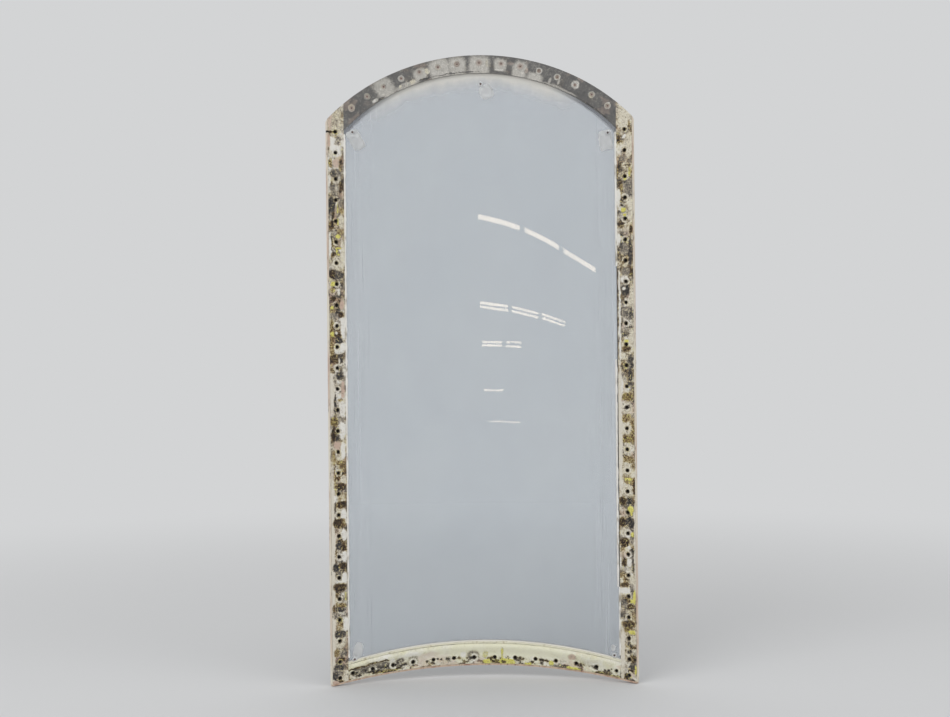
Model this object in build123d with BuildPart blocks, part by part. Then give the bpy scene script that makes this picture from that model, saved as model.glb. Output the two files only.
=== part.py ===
from build123d import *
import os
from math import asin, cos, degrees, radians, sin, sqrt

# A curved aircraft windshield panel with a drilled edge all round. X runs across the panel,
# Z along its straight axis and Y away from the cabin. The origin lies under the middle of the
# panel, level with its lower corners.

# Outline of the whole panel, in millimetres
chord_width = 372.0
side_length = 682.0
top_rise = 88.4
bottom_rise = 14.8
bend_radius = 417.0

# Thicknesses of the stacked layers, outward from the cabin
rail_lip = 1.5
structural_thickness = 4.5
weather_lip = 1.5
interlayer_thickness = 0.8
facing_thickness = 3.2
facing_bevel = 1.2

# Edge rails: the structural ply's tongue is bonded into a groove in each of them
side_rail_width = 19.7
top_rail_width = 22.2
bottom_rail_height = 27.0
bottom_rail_end_height = 21.3
tongue_reach = 6.5
bond_gap = 0.1
rail_joint_gap = 0.2

# Seals and beads of sealant
side_seal_thickness = 0.8
bottom_seal_thickness = 2.2
bead_width = 2.5
inner_bead_height = 1.2
inner_bead_slope = 0.9
weather_bead_height = 1.6
weather_bead_slope = 1.2
fairing_start = 15.0
fairing_height = 2.6
fairing_slope = 1.8

# Screw holes for number 8 screws: a count and its end distances set each row's pitch
screw_hole_diameter = 4.2
edge_distance = 9.5
side_run_count = 24
side_run_start = 29.0
side_run_end_drop = 68.8
corner_hole_height = 9.5
upper_hole_drop = 37.0
corner_hole_drop = 11.6
top_hole_margin = 9.77
top_first_step = 27.5
top_steps_each_way = 7
bottom_hole_margin = 5.61
bottom_edge_distance = 9.9
bottom_holes_each_way = 7
split_width = 2.6

# Clip pads on the cabin face: distance in from a side rail, distance from the top or bottom
# rail, width, length, corner radius, and the turn to the left as seen from the cabin
clip_pad_thickness = 0.6
clip_pad_gap = 0.2
clip_pads = {
    "clip_pad_top_left": (17.1, 30.3, 14.0, 18.0, 0.0, 30.0),
    "clip_pad_top_centre": (157.1, 24.0, 12.5, 15.0, 5.0, 20.0),
    "clip_pad_top_right": (14.7, 30.0, 11.5, 17.5, 0.0, 8.0),
    "clip_pad_bottom_left": (12.7, 18.6, 10.0, 16.0, 4.5, -12.0),
    "clip_pad_bottom_right": (9.4, 14.7, 5.5, 7.5, 2.2, 0.0),
}

# Radii of the stacked faces, measured from the bend axis
rail_face = bend_radius - rail_lip
structural_face = bend_radius + structural_thickness
tongue_face = structural_face - weather_lip
interlayer_face = structural_face + interlayer_thickness
facing_face = interlayer_face + facing_thickness
rail_thickness = structural_face - rail_face

# Angles from the middle of the panel, in degrees round the bend axis
edge_angle = degrees(asin(chord_width / 2 / structural_face))
rail_angle = edge_angle - degrees(side_rail_width / bend_radius)
rail_tilt = (edge_angle + rail_angle) / 2
pane_angle = rail_angle - degrees(bead_width / bend_radius)
tongue_angle = rail_angle + degrees(tongue_reach / bend_radius)
bond_angle = degrees(bond_gap / bend_radius)
cross_angle = rail_angle - degrees(rail_joint_gap / bend_radius)
rail_inner_across = bend_radius * sin(radians(rail_angle))

# Front view: each top and bottom edge is an arc, given as its centre height and its radius
half_width = chord_width / 2 + side_seal_thickness
top_radius = (half_width**2 + top_rise**2) / (2 * top_rise)
top_centre = side_length + top_rise - top_radius
lower_radius = ((chord_width / 2) ** 2 + bottom_rise**2) / (2 * bottom_rise)
lower_centre = bottom_rise - lower_radius
lower_end = lower_centre + sqrt(lower_radius**2 - rail_inner_across**2)
band_rise = bottom_rise + bottom_rail_height - lower_end - bottom_rail_end_height
band_radius = (rail_inner_across**2 + band_rise**2) / (2 * band_rise)
band_centre = bottom_rise + bottom_rail_height - band_radius
rail_inner_top = top_radius - top_rail_width
overall_height = side_length + top_rise

outer_top = (top_centre, top_radius)
outer_bottom = (lower_centre, lower_radius)
rail_bottom = (lower_centre, lower_radius + bottom_seal_thickness)
tongue_top = (top_centre, rail_inner_top + tongue_reach)
tongue_bottom = (band_centre, band_radius - tongue_reach)
groove_top = (top_centre, rail_inner_top + tongue_reach + bond_gap)
groove_bottom = (band_centre, band_radius - tongue_reach - bond_gap)
opening_top = (top_centre, rail_inner_top)
opening_bottom = (band_centre, band_radius)
pane_top = (top_centre, rail_inner_top - bead_width)
pane_bottom = (band_centre, band_radius + bead_width)
fairing_bottom = (lower_centre, lower_radius + fairing_start)

# The bend axis lies in front of the panel, so that Y = 0 is the middle of its depth
weather_corner = structural_face * cos(radians(edge_angle))
cabin_corner = weather_corner - rail_thickness * cos(radians(rail_tilt))
nearest = cabin_corner - side_seal_thickness * sin(radians(rail_tilt))
bend_axis = -(nearest + facing_face) / 2


def arc_height(arc, across):
    """Height of an upward arc at a distance from the middle plane."""
    centre, radius = arc
    return centre + sqrt(radius**2 - across**2)


def angle_at(across):
    """Angle round the bend axis of a point at a distance from the middle plane."""
    return degrees(asin(across / bend_radius))


def front_view(lower, upper):
    """Face between two upward arcs, a little wider than the panel."""
    side = half_width + 5
    low, high = arc_height(lower, side), arc_height(upper, side)
    with BuildSketch(Plane.XZ) as view:
        with BuildLine():
            ThreePointArc((-side, low), (0, arc_height(lower, 0)), (side, low))
            Line((side, low), (side, high))
            ThreePointArc((side, high), (0, arc_height(upper, 0)), (-side, high))
            Line((-side, high), (-side, low))
        make_face()
    return view.sketch


def bend_section(inner, outer, start, end):
    """Plan view of a curved layer between two radii and two angles from the middle."""

    def at(radius, angle):
        """Point in plan at a radius and an angle."""
        return (radius * sin(radians(angle)), bend_axis + radius * cos(radians(angle)))

    middle = (start + end) / 2
    with BuildSketch(Plane.XY) as section:
        with BuildLine():
            ThreePointArc(at(inner, start), at(inner, middle), at(inner, end))
            Line(at(inner, end), at(outer, end))
            ThreePointArc(at(outer, end), at(outer, middle), at(outer, start))
            Line(at(outer, start), at(inner, start))
        make_face()
    return section.sketch


def cut_to_view(section, lower, upper, mode=Mode.ADD):
    """Raise a plan section and keep what lies between two arcs of the front view."""
    column = extrude(section, amount=overall_height, mode=Mode.PRIVATE)
    view = front_view(lower, upper)
    window = extrude(view, amount=2 * bend_radius, both=True, mode=Mode.PRIVATE)
    add(column & window, mode=mode)


def side_plane(side, height=0.0):
    """Plane on a side rail's weather face, at its outer edge; side is -1 or 1."""
    tilt = radians(rail_tilt)
    corner = radians(edge_angle)
    return Plane(
        origin=(
            side * structural_face * sin(corner),
            bend_axis + structural_face * cos(corner),
            height,
        ),
        x_dir=(side * cos(tilt), -sin(tilt), 0),
        z_dir=(side * sin(tilt), cos(tilt), 0),
    )


def side_section(side, width, outboard=False):
    """Plan view of a flat bar that starts at a side rail's outer edge."""
    face = side_plane(side)
    sign = 1 if outboard else -1
    with BuildSketch(Plane.XY) as section:
        with BuildLine():
            corners = [
                face.origin,
                face.origin + face.x_dir * width * sign,
                face.origin + face.x_dir * width * sign - face.z_dir * rail_thickness,
                face.origin - face.z_dir * rail_thickness,
            ]
            Polyline(*[(corner.X, corner.Y) for corner in corners], close=True)
        make_face()
    return section.sketch


def surface_plane(angle, height, radius):
    """Plane on a bent face whose normal points away from the cabin."""
    outward = Vector(sin(radians(angle)), cos(radians(angle)), 0)
    across = Vector(cos(radians(angle)), -sin(radians(angle)), 0)
    origin = Vector(0, bend_axis, height) + outward * radius
    return Plane(origin=origin, x_dir=across, z_dir=outward)


def side_hole_places(side):
    """Locations of one side rail's screw holes, square to its weather face."""
    places = []
    for height in side_hole_heights:
        face = side_plane(side, height)
        places.append(Plane(face.origin - face.x_dir * edge_distance, z_dir=face.z_dir).location)
    return places


def bend_hole_places(stations):
    """Locations on the weather face for holes at pairs of angle and height."""
    return [surface_plane(angle, height, facing_face).location for angle, height in stations]


def drill(places, diameter):
    """Drill the open part through its whole thickness."""
    with Locations(*places):
        Hole(diameter / 2, depth=2 * (facing_face - rail_face))


def cut_split():
    """Cut the open part from the highest left hole out to the edge."""
    face = side_plane(-1, side_hole_heights[-1])
    with Locations(Plane(face.origin, x_dir=face.x_dir, z_dir=face.z_dir).location):
        Box(2 * edge_distance, split_width, 3 * rail_thickness, mode=Mode.SUBTRACT)


# Heights of the side holes: a corner hole, an even run, and two more past a wider gap
side_run_length = side_length - side_run_end_drop - side_run_start
side_hole_heights = [corner_hole_height]
for step in range(side_run_count):
    share = step / (side_run_count - 1)
    side_hole_heights.append(side_run_start + side_run_length * share)
side_hole_heights.append(side_length - upper_hole_drop)
side_hole_heights.append(side_length - corner_hole_drop)

# Top holes follow the arched edge and have a wider pitch beside the middle one
top_stations = []
top_hole_radius = top_radius - edge_distance
last_turn = asin((bend_radius * sin(radians(cross_angle)) - top_hole_margin) / top_hole_radius)
first_turn = top_first_step / top_hole_radius
turn_step = (last_turn - first_turn) / (top_steps_each_way - 1)
for step in range(-top_steps_each_way, top_steps_each_way + 1):
    wider = (first_turn - turn_step) * ((step > 0) - (step < 0))
    turn = step * turn_step + wider
    height = top_centre + top_hole_radius * cos(turn)
    top_stations.append((angle_at(top_hole_radius * sin(turn)), height))

# Bottom holes have one pitch round the bend and none in the middle
bottom_stations = []
bottom_hole_arc = (lower_centre, lower_radius + bottom_edge_distance)
last_angle = cross_angle - degrees(bottom_hole_margin / bend_radius)
for step in range(-bottom_holes_each_way, bottom_holes_each_way):
    angle = last_angle * (step + 0.5) / (bottom_holes_each_way - 0.5)
    height = arc_height(bottom_hole_arc, bend_radius * sin(radians(angle)))
    bottom_stations.append((angle, height))

nodes = {}

# Structural ply: full thickness inside the rails, with a thinner tongue all round
with BuildPart() as structural_ply:
    pane = bend_section(bend_radius, structural_face, -pane_angle, pane_angle)
    cut_to_view(pane, pane_bottom, pane_top)
    tongue = bend_section(bend_radius, tongue_face, -tongue_angle, tongue_angle)
    cut_to_view(tongue, tongue_bottom, tongue_top)
nodes["structural_ply"] = structural_ply

# Interlayer: the soft film that bonds the two plies
with BuildPart() as interlayer:
    film = bend_section(structural_face, interlayer_face, -pane_angle, pane_angle)
    cut_to_view(film, pane_bottom, pane_top)
nodes["interlayer"] = interlayer

# Facing ply: the weather side, bevelled round its edge
with BuildPart() as facing_ply:
    sheet = bend_section(interlayer_face, facing_face, -pane_angle, pane_angle)
    cut_to_view(sheet, pane_bottom, pane_top)
    weather_side = facing_ply.faces().filter_by(GeomType.CYLINDER).sort_by(SortBy.AREA)[-1]
    chamfer(weather_side.edges(), length=facing_bevel)
nodes["facing_ply"] = facing_ply

# Side rails: flat bars along the straight edges, the left one split at its highest hole
for side, name in ((-1, "left_edge_rail"), (1, "right_edge_rail")):
    with BuildPart() as side_rail:
        cut_to_view(side_section(side, side_rail_width), rail_bottom, outer_top)
        groove = bend_section(
            bend_radius - bond_gap,
            tongue_face + bond_gap,
            min(side * pane_angle, side * (tongue_angle + bond_angle)),
            max(side * pane_angle, side * (tongue_angle + bond_angle)),
        )
        cut_to_view(groove, groove_bottom, groove_top, mode=Mode.SUBTRACT)
        drill(side_hole_places(side), screw_hole_diameter)
        if side < 0:
            cut_split()
    nodes[name] = side_rail

# Top and bottom rails, between the side rails
groove = bend_section(bend_radius - bond_gap, tongue_face + bond_gap, -edge_angle, edge_angle)

with BuildPart() as top_edge_rail:
    bar = bend_section(rail_face, structural_face, -cross_angle, cross_angle)
    cut_to_view(bar, opening_top, outer_top)
    cut_to_view(groove, pane_bottom, groove_top, mode=Mode.SUBTRACT)
    drill(bend_hole_places(top_stations), screw_hole_diameter)
nodes["top_edge_rail"] = top_edge_rail

with BuildPart() as bottom_edge_rail:
    bar = bend_section(rail_face, structural_face, -cross_angle, cross_angle)
    cut_to_view(bar, rail_bottom, opening_bottom)
    cut_to_view(groove, groove_bottom, pane_top, mode=Mode.SUBTRACT)
    drill(bend_hole_places(bottom_stations), screw_hole_diameter)
nodes["bottom_edge_rail"] = bottom_edge_rail

# Edge seals, on the outer ends of the side rails and under all three lower edges
for side, name in ((-1, "left_edge_seal"), (1, "right_edge_seal")):
    with BuildPart() as side_seal:
        strip = side_section(side, side_seal_thickness, outboard=True)
        cut_to_view(strip, rail_bottom, outer_top)
        if side < 0:
            cut_split()
    nodes[name] = side_seal

with BuildPart() as bottom_edge_seal:
    strip = bend_section(rail_face, structural_face, -edge_angle, edge_angle)
    cut_to_view(strip, outer_bottom, rail_bottom)
nodes["bottom_edge_seal"] = bottom_edge_seal

# Beads along the side rails on the cabin face, sloped toward the pane
for side, name in ((-1, "left_inner_bead"), (1, "right_inner_bead")):
    with BuildPart() as inner_bead:
        bead = bend_section(
            bend_radius - inner_bead_height,
            bend_radius - bond_gap,
            min(side * pane_angle, side * cross_angle),
            max(side * pane_angle, side * cross_angle),
        )
        cut_to_view(bead, opening_bottom, opening_top)
        cabin_side = inner_bead.faces().filter_by(GeomType.CYLINDER).sort_by(Axis.Y)[0]
        pane_edge = cabin_side.edges().filter_by(Axis.Z).sort_by(Axis.X)[0 if side > 0 else -1]
        chamfer(pane_edge, length=inner_bead_slope)
    nodes[name] = inner_bead

# Fairing of sealant along the upper part of the bottom rail
with BuildPart() as bottom_fairing:
    roll = bend_section(rail_face - fairing_height, rail_face, -cross_angle, cross_angle)
    cut_to_view(roll, fairing_bottom, opening_bottom)
    cabin_side = bottom_fairing.faces().filter_by(GeomType.CYLINDER).sort_by(Axis.Y)[0]
    upper_edge = cabin_side.edges().sort_by(SortBy.LENGTH)[-2:].sort_by(Axis.Z)[-1]
    chamfer(upper_edge, length=fairing_slope)
nodes["bottom_fairing"] = bottom_fairing

# Weather beads, in the groove between the facing ply and each rail
for side, name in ((-1, "left_weather_bead"), (1, "right_weather_bead")):
    with BuildPart() as weather_bead:
        bead = bend_section(
            tongue_face,
            structural_face + weather_bead_height,
            min(side * pane_angle, side * cross_angle),
            max(side * pane_angle, side * cross_angle),
        )
        cut_to_view(bead, opening_bottom, opening_top)
        long_edges = weather_bead.edges().filter_by(Axis.Z).sort_by(Axis.Y)[-2:]
        outer_edge = long_edges.sort_by(Axis.X)[0 if side < 0 else -1]
        chamfer(outer_edge, length=weather_bead_slope)
    nodes[name] = weather_bead

bead = bend_section(
    tongue_face, structural_face + weather_bead_height, -pane_angle, pane_angle
)
for name, lower, upper, pick in (
    ("top_weather_bead", pane_top, opening_top, -1),
    ("bottom_weather_bead", opening_bottom, pane_bottom, 0),
):
    with BuildPart() as weather_bead:
        cut_to_view(bead, lower, upper)
        raised = weather_bead.faces().filter_by(GeomType.CYLINDER).sort_by(Axis.Y)[-1]
        outer_edge = raised.edges().sort_by(SortBy.LENGTH)[-2:].sort_by(Axis.Z)[pick]
        chamfer(outer_edge, length=weather_bead_slope)
    nodes[name] = weather_bead

# Clip pads: flat slabs, set off the hollow cabin face by the rise under their corners
for name, (inset, margin, width, length, corner, turn) in clip_pads.items():
    across = (rail_inner_across - inset) * (-1 if name.endswith("left") else 1)
    if "top" in name:
        height = arc_height(opening_top, across) - margin
    else:
        height = arc_height(opening_bottom, across) + margin
    with BuildPart() as clip_pad:
        rise = (width**2 + length**2) / 8 / bend_radius
        seat = surface_plane(angle_at(across), height, bend_radius - clip_pad_gap - rise)
        with BuildSketch(seat):
            if corner:
                RectangleRounded(width, length, corner, rotation=-turn)
            else:
                Rectangle(width, length, rotation=-turn)
        extrude(amount=-clip_pad_thickness)
    nodes[name] = clip_pad

# Write every node
os.makedirs("parts", exist_ok=True)
for name, node in nodes.items():
    node.part.label = name
    export_step(node.part, f"parts/{name}.step")
    print(name, round(node.part.volume, 1))
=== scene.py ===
"""Looks of a curved aircraft windshield panel: hazed plies in drilled rails with old sealant.

Lengths are in millimetres in the panel's own frame, and become metres where a mesh is made.
X runs across the panel, Z up along its straight axis and Y away from the cabin.
"""

import logging
import math
from dataclasses import dataclass, field
from enum import Enum
from functools import cached_property, partial
from typing import Any, Callable, ClassVar, Sequence

import bmesh
import bpy
import numpy as np
from mathutils import Matrix, Vector

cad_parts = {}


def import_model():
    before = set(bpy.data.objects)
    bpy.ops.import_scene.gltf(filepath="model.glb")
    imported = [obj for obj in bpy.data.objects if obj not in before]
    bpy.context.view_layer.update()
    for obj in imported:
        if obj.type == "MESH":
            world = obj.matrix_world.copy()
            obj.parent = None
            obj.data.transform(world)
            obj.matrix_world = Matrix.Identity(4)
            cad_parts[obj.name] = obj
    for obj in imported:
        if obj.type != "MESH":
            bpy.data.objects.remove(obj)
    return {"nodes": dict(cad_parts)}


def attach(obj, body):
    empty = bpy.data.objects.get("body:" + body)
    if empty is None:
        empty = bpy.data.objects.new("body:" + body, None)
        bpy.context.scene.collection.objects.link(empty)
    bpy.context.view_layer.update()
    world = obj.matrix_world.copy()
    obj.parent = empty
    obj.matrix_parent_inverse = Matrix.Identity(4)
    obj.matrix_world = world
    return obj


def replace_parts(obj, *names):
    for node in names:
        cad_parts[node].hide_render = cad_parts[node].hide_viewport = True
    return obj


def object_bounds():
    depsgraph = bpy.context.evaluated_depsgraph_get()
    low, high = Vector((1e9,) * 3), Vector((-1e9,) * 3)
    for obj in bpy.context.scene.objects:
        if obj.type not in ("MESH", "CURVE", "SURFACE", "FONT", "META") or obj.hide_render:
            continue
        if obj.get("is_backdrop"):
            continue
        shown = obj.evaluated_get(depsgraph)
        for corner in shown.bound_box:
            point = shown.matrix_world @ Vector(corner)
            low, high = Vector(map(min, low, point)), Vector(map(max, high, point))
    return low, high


MM = 0.001
BODY = "root"
LOG = logging.getLogger("windshield")
# Map Range takes its value, from low, from high, to low and to high as inputs 0 to 4, and Mix
# takes its factor and two colours as inputs 0, 6 and 7 and gives the mixed colour as output 2
MATH, MIX, RANGE = "ShaderNodeMath", "ShaderNodeMix", "ShaderNodeMapRange"
VECTOR_MATH = "ShaderNodeVectorMath"
Adder = Callable[..., Any]
Triple = tuple[float, float, float]
Shades = tuple[tuple[float, str], ...]
Levels = tuple[tuple[float, float], ...]


# Shape of the panel


@dataclass(frozen=True)
class Arc:
    """An upward arc of the front view, given by its centre height and radius."""

    centre: float
    radius: float

    def height(self, across: np.ndarray) -> np.ndarray:
        """Height of the arc at a distance from the middle plane."""
        return self.centre + np.sqrt(self.radius**2 - np.asarray(across, float) ** 2)

    def grown(self, by: float) -> "Arc":
        """The same arc moved outward by a distance."""
        return Arc(self.centre, self.radius + by)


@dataclass(frozen=True)
class PanelShape:
    """Sizes of the panel, the same ones as in the part's source."""

    chord_width: float = 372.0
    side_length: float = 682.0
    top_rise: float = 88.4
    bottom_rise: float = 14.8
    bend_radius: float = 417.0
    rail_lip: float = 1.5
    structural_thickness: float = 4.5
    weather_lip: float = 1.5
    interlayer_thickness: float = 0.8
    facing_thickness: float = 3.2
    facing_bevel: float = 1.2
    side_rail_width: float = 19.7
    top_rail_width: float = 22.2
    bottom_rail_height: float = 27.0
    bottom_rail_end_height: float = 21.3
    tongue_reach: float = 6.5
    rail_joint_gap: float = 0.2
    side_seal_thickness: float = 0.8
    bottom_seal_thickness: float = 2.2
    bead_width: float = 2.5
    hole_radius: float = 2.1
    edge_distance: float = 9.5
    bottom_edge_distance: float = 9.9

    @property
    def rail_face(self) -> float:
        """Radius of the rails' cabin face."""
        return self.bend_radius - self.rail_lip

    @property
    def structural_face(self) -> float:
        """Radius of the structural ply's weather face."""
        return self.bend_radius + self.structural_thickness

    @property
    def interlayer_face(self) -> float:
        """Radius of the interlayer's weather face."""
        return self.structural_face + self.interlayer_thickness

    @property
    def facing_face(self) -> float:
        """Radius of the facing ply's weather face."""
        return self.interlayer_face + self.facing_thickness

    @property
    def rail_thickness(self) -> float:
        """Thickness of every rail."""
        return self.structural_face - self.rail_face

    @cached_property
    def edge_angle(self) -> float:
        """Angle of the outer edge from the middle, in radians."""
        return math.asin(self.chord_width / 2 / self.structural_face)

    @cached_property
    def rail_angle(self) -> float:
        """Angle of the side rails' inner edge, in radians."""
        return self.edge_angle - self.side_rail_width / self.bend_radius

    @cached_property
    def tilt(self) -> float:
        """Turn of a side rail's flat face about the upright axis, in radians."""
        return (self.edge_angle + self.rail_angle) / 2

    @cached_property
    def pane_angle(self) -> float:
        """Angle of the pane's side edge, in radians."""
        return self.rail_angle - self.bead_width / self.bend_radius

    @cached_property
    def cross_angle(self) -> float:
        """Angle of the ends of the top and bottom rails, in radians."""
        return self.rail_angle - self.rail_joint_gap / self.bend_radius

    @cached_property
    def bend_axis(self) -> float:
        """Y of the bend axis, which puts Y = 0 in the middle of the panel's depth."""
        corner = self.structural_face * math.cos(self.edge_angle)
        corner -= self.rail_thickness * math.cos(self.tilt)
        nearest = corner - self.side_seal_thickness * math.sin(self.tilt)
        return -(nearest + self.facing_face) / 2

    @cached_property
    def outer_top(self) -> Arc:
        """The panel's arched top edge."""
        half = self.chord_width / 2 + self.side_seal_thickness
        radius = (half**2 + self.top_rise**2) / (2 * self.top_rise)
        return Arc(self.side_length + self.top_rise - radius, radius)

    @cached_property
    def outer_bottom(self) -> Arc:
        """The panel's arched bottom edge."""
        half = self.chord_width / 2
        radius = (half**2 + self.bottom_rise**2) / (2 * self.bottom_rise)
        return Arc(self.bottom_rise - radius, radius)

    @cached_property
    def opening_top(self) -> Arc:
        """Lower edge of the top rail."""
        return self.outer_top.grown(-self.top_rail_width)

    @cached_property
    def opening_bottom(self) -> Arc:
        """Upper edge of the bottom rail."""
        across = self.bend_radius * math.sin(self.rail_angle)
        crown = self.bottom_rise + self.bottom_rail_height
        rise = crown - float(self.outer_bottom.height(across)) - self.bottom_rail_end_height
        radius = (across**2 + rise**2) / (2 * rise)
        return Arc(crown - radius, radius)

    @property
    def rail_bottom(self) -> Arc:
        """Lower edge of the rails, above the bottom seal."""
        return self.outer_bottom.grown(self.bottom_seal_thickness)

    @property
    def pane_top(self) -> Arc:
        """Upper edge of the plies."""
        return self.opening_top.grown(-self.bead_width)

    @property
    def pane_bottom(self) -> Arc:
        """Lower edge of the plies."""
        return self.opening_bottom.grown(self.bead_width)

    def wrap(self, angle: np.ndarray, height: np.ndarray, radius: np.ndarray) -> np.ndarray:
        """Points at angles round the bend axis, heights and radii.

        Args:
            angle: Angles from the middle plane, in radians.
            height: Heights in the panel's frame.
            radius: Distances from the bend axis.

        Returns:
            An array of points, one row each.
        """
        angle, height, radius = np.broadcast_arrays(angle, height, radius)
        return np.stack(
            [radius * np.sin(angle), self.bend_axis + radius * np.cos(angle), height], axis=-1
        )


# Mesh and node helpers


def linear(code: str) -> tuple[float, float, float, float]:
    """Turn an sRGB hex colour into the linear values that Blender takes."""
    values = [int(code[place : place + 2], 16) / 255 for place in (1, 3, 5)]
    return tuple(
        value / 12.92 if value <= 0.04045 else ((value + 0.055) / 1.055) ** 2.4 for value in values
    ) + (1.0,)


def fill(node: bpy.types.Node, inputs: dict[str | int, Any]) -> None:
    """Set or link a node's inputs from values, hex colours and output sockets."""
    for key, value in inputs.items():
        if isinstance(value, bpy.types.NodeSocket):
            node.id_data.links.new(value, node.inputs[key])
        else:
            is_colour = isinstance(value, str) and value.startswith("#")
            node.inputs[key].default_value = linear(value) if is_colour else value


def add_node(
    tree: bpy.types.NodeTree,
    kind: str,
    inputs: dict[str | int, Any] | None = None,
    output: str | int | None = 0,
    **settings: Any,
) -> Any:
    """Add a node with its settings, and set or link its inputs.

    Args:
        tree: The tree that gets the node.
        kind: The node's type name.
        inputs: Values, hex colours or output sockets by input name or number.
        output: Name or number of the wanted output; None asks for the node itself.
        **settings: Properties set before the inputs.

    Returns:
        The wanted output socket, or the node.
    """
    node = tree.nodes.new(kind)
    for name, value in settings.items():
        setattr(node, name, value)
    fill(node, inputs or {})
    return node if output is None else node.outputs[output]


def weighed(add: Adder, start: Any, *terms: tuple[Any, float]) -> Any:
    """Sum of a start value and some sockets, each times its weight."""
    for part, weight in terms:
        start = add(MATH, {0: part, 1: weight, 2: start}, operation="MULTIPLY_ADD")
    return start


def spots(
    add: Adder,
    size: float,
    stretch: Triple = (1.0, 1.0, 1.0),
    detail: float = 4.0,
    roughness: float = 0.55,
    distortion: float = 0.0,
) -> Any:
    """Random pattern on Object coordinates, with spots of a real size.

    Args:
        add: Adds a node to the finish's tree.
        size: Width of a spot in millimetres.
        stretch: How much denser the spots lie along each axis.
        detail: Number of finer layers.
        roughness: Strength of the finer layers.
        distortion: How much the pattern is warped.

    Returns:
        The pattern's factor socket.
    """
    place = add("ShaderNodeTexCoord", output="Object")
    return add(
        "ShaderNodeTexNoise",
        {
            "Vector": add("ShaderNodeMapping", {"Vector": place, "Scale": stretch}),
            "Scale": 1 / (size * MM),
            "Detail": detail,
            "Roughness": roughness,
            "Distortion": distortion,
        },
    )


def add_object(name: str, data: Any) -> bpy.types.Object:
    """Make an object and put it in the scene."""
    made = bpy.data.objects.new(name, data)
    bpy.context.scene.collection.objects.link(made)
    return made


def add_piece(name: str, mesh: bpy.types.Mesh, slot: str) -> bpy.types.Object:
    """Make a mesh a piece of the panel: it rides on the body."""
    piece = add_object(name, mesh)
    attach(piece, BODY)
    LOG.info("%s: %d faces", name, len(mesh.polygons))
    return piece


def make_piece(
    name: str,
    points: np.ndarray,
    faces: Sequence[Sequence[int]],
    finish: "Finish",
    slot: str,
    sharp_above: float = 40.0,
    attributes: dict[str, np.ndarray] | None = None,
) -> bpy.types.Object:
    """Make a closed piece of the panel.

    Args:
        name: The piece's name.
        points: Points in millimetres.
        faces: Corner numbers of each face.
        finish: The piece's finish.
        slot: The record's material slot; not used.
        sharp_above: Edges that turn by more than this many degrees stay sharp.
        attributes: Colours for each point, by attribute name.

    Returns:
        The new object.
    """
    mesh = bpy.data.meshes.new(name)
    mesh.from_pydata((np.asarray(points, float) * MM).tolist(), [], faces)
    for label, values in (attributes or {}).items():
        layer = mesh.color_attributes.new(label, "FLOAT_COLOR", "POINT")
        layer.data.foreach_set("color", np.asarray(values, np.float32).ravel())
    shell = bmesh.new()
    shell.from_mesh(mesh)
    bmesh.ops.remove_doubles(shell, verts=shell.verts, dist=1e-6)
    bmesh.ops.recalc_face_normals(shell, faces=shell.faces)
    shell.to_mesh(mesh)
    shell.free()
    mesh.shade_smooth()
    mesh.set_sharp_from_angle(angle=math.radians(sharp_above))
    mesh.materials.append(finish.material)
    return add_piece(name, mesh, slot)


def band(first: np.ndarray, second: np.ndarray) -> list[list[int]]:
    """Faces between two closed rows of corner numbers."""
    corners = [first, np.roll(first, -1), np.roll(second, -1), second]
    return np.stack(corners, axis=-1).tolist()


def bands(rows: np.ndarray) -> list[list[int]]:
    """Faces between closed rows of corner numbers that follow each other."""
    return [face for low, high in zip(rows, rows[1:]) for face in band(low, high)]


def ramp(values: np.ndarray, low: float, high: float) -> np.ndarray:
    """Smooth step from 0 at low to 1 at high."""
    share = np.clip((np.asarray(values, float) - low) / (high - low), 0, 1)
    return share * share * (3 - 2 * share)


@dataclass(frozen=True)
class RandomField:
    """A smooth random field over a flat chart, the same each time for one seed."""

    seed: int
    size: int = 256

    def value(self, across: np.ndarray, along: np.ndarray, grain: float) -> np.ndarray:
        """One layer of the field, from 0 to 1, with spots about a grain wide."""
        table = np.random.default_rng(self.seed).random((self.size, self.size))
        first, second = np.asarray(across) / grain + 31.7, np.asarray(along) / grain + 57.3
        left, low = np.floor(first).astype(int), np.floor(second).astype(int)
        side, rise = first - left, second - low
        side, rise = side * side * (3 - 2 * side), rise * rise * (3 - 2 * rise)
        left, low = left % self.size, low % self.size
        right, high = (left + 1) % self.size, (low + 1) % self.size
        near = table[left, low] * (1 - side) + table[right, low] * side
        far = table[left, high] * (1 - side) + table[right, high] * side
        return near * (1 - rise) + far * rise

    def layered(
        self, across: np.ndarray, along: np.ndarray, grain: float, layers: int = 4
    ) -> np.ndarray:
        """Several layers of the field, each half as coarse and half as strong as the last."""
        shares = [0.5**layer for layer in range(layers)]
        total = sum(
            share * RandomField(self.seed + layer, self.size).value(across, along, grain * share)
            for layer, share in enumerate(shares)
        )
        return total / sum(shares)


# Finishes


@dataclass(frozen=True)
class Finish:
    """What every finish shares: a name, and a material with one Principled shader."""

    name: str

    @cached_property
    def material(self) -> bpy.types.Material:
        """The material, made when it is first asked for."""
        made = bpy.data.materials.new(self.name)
        made.use_nodes = True
        shader = made.node_tree.nodes["Principled BSDF"]
        self.dress(partial(add_node, made.node_tree), shader)
        return made

    def dress(self, add: Adder, shader: bpy.types.Node) -> None:
        """Set and link the shader's inputs.

        Args:
            add: Adds a node to the material's tree.
            shader: The Principled shader.
        """
        raise NotImplementedError


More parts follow.
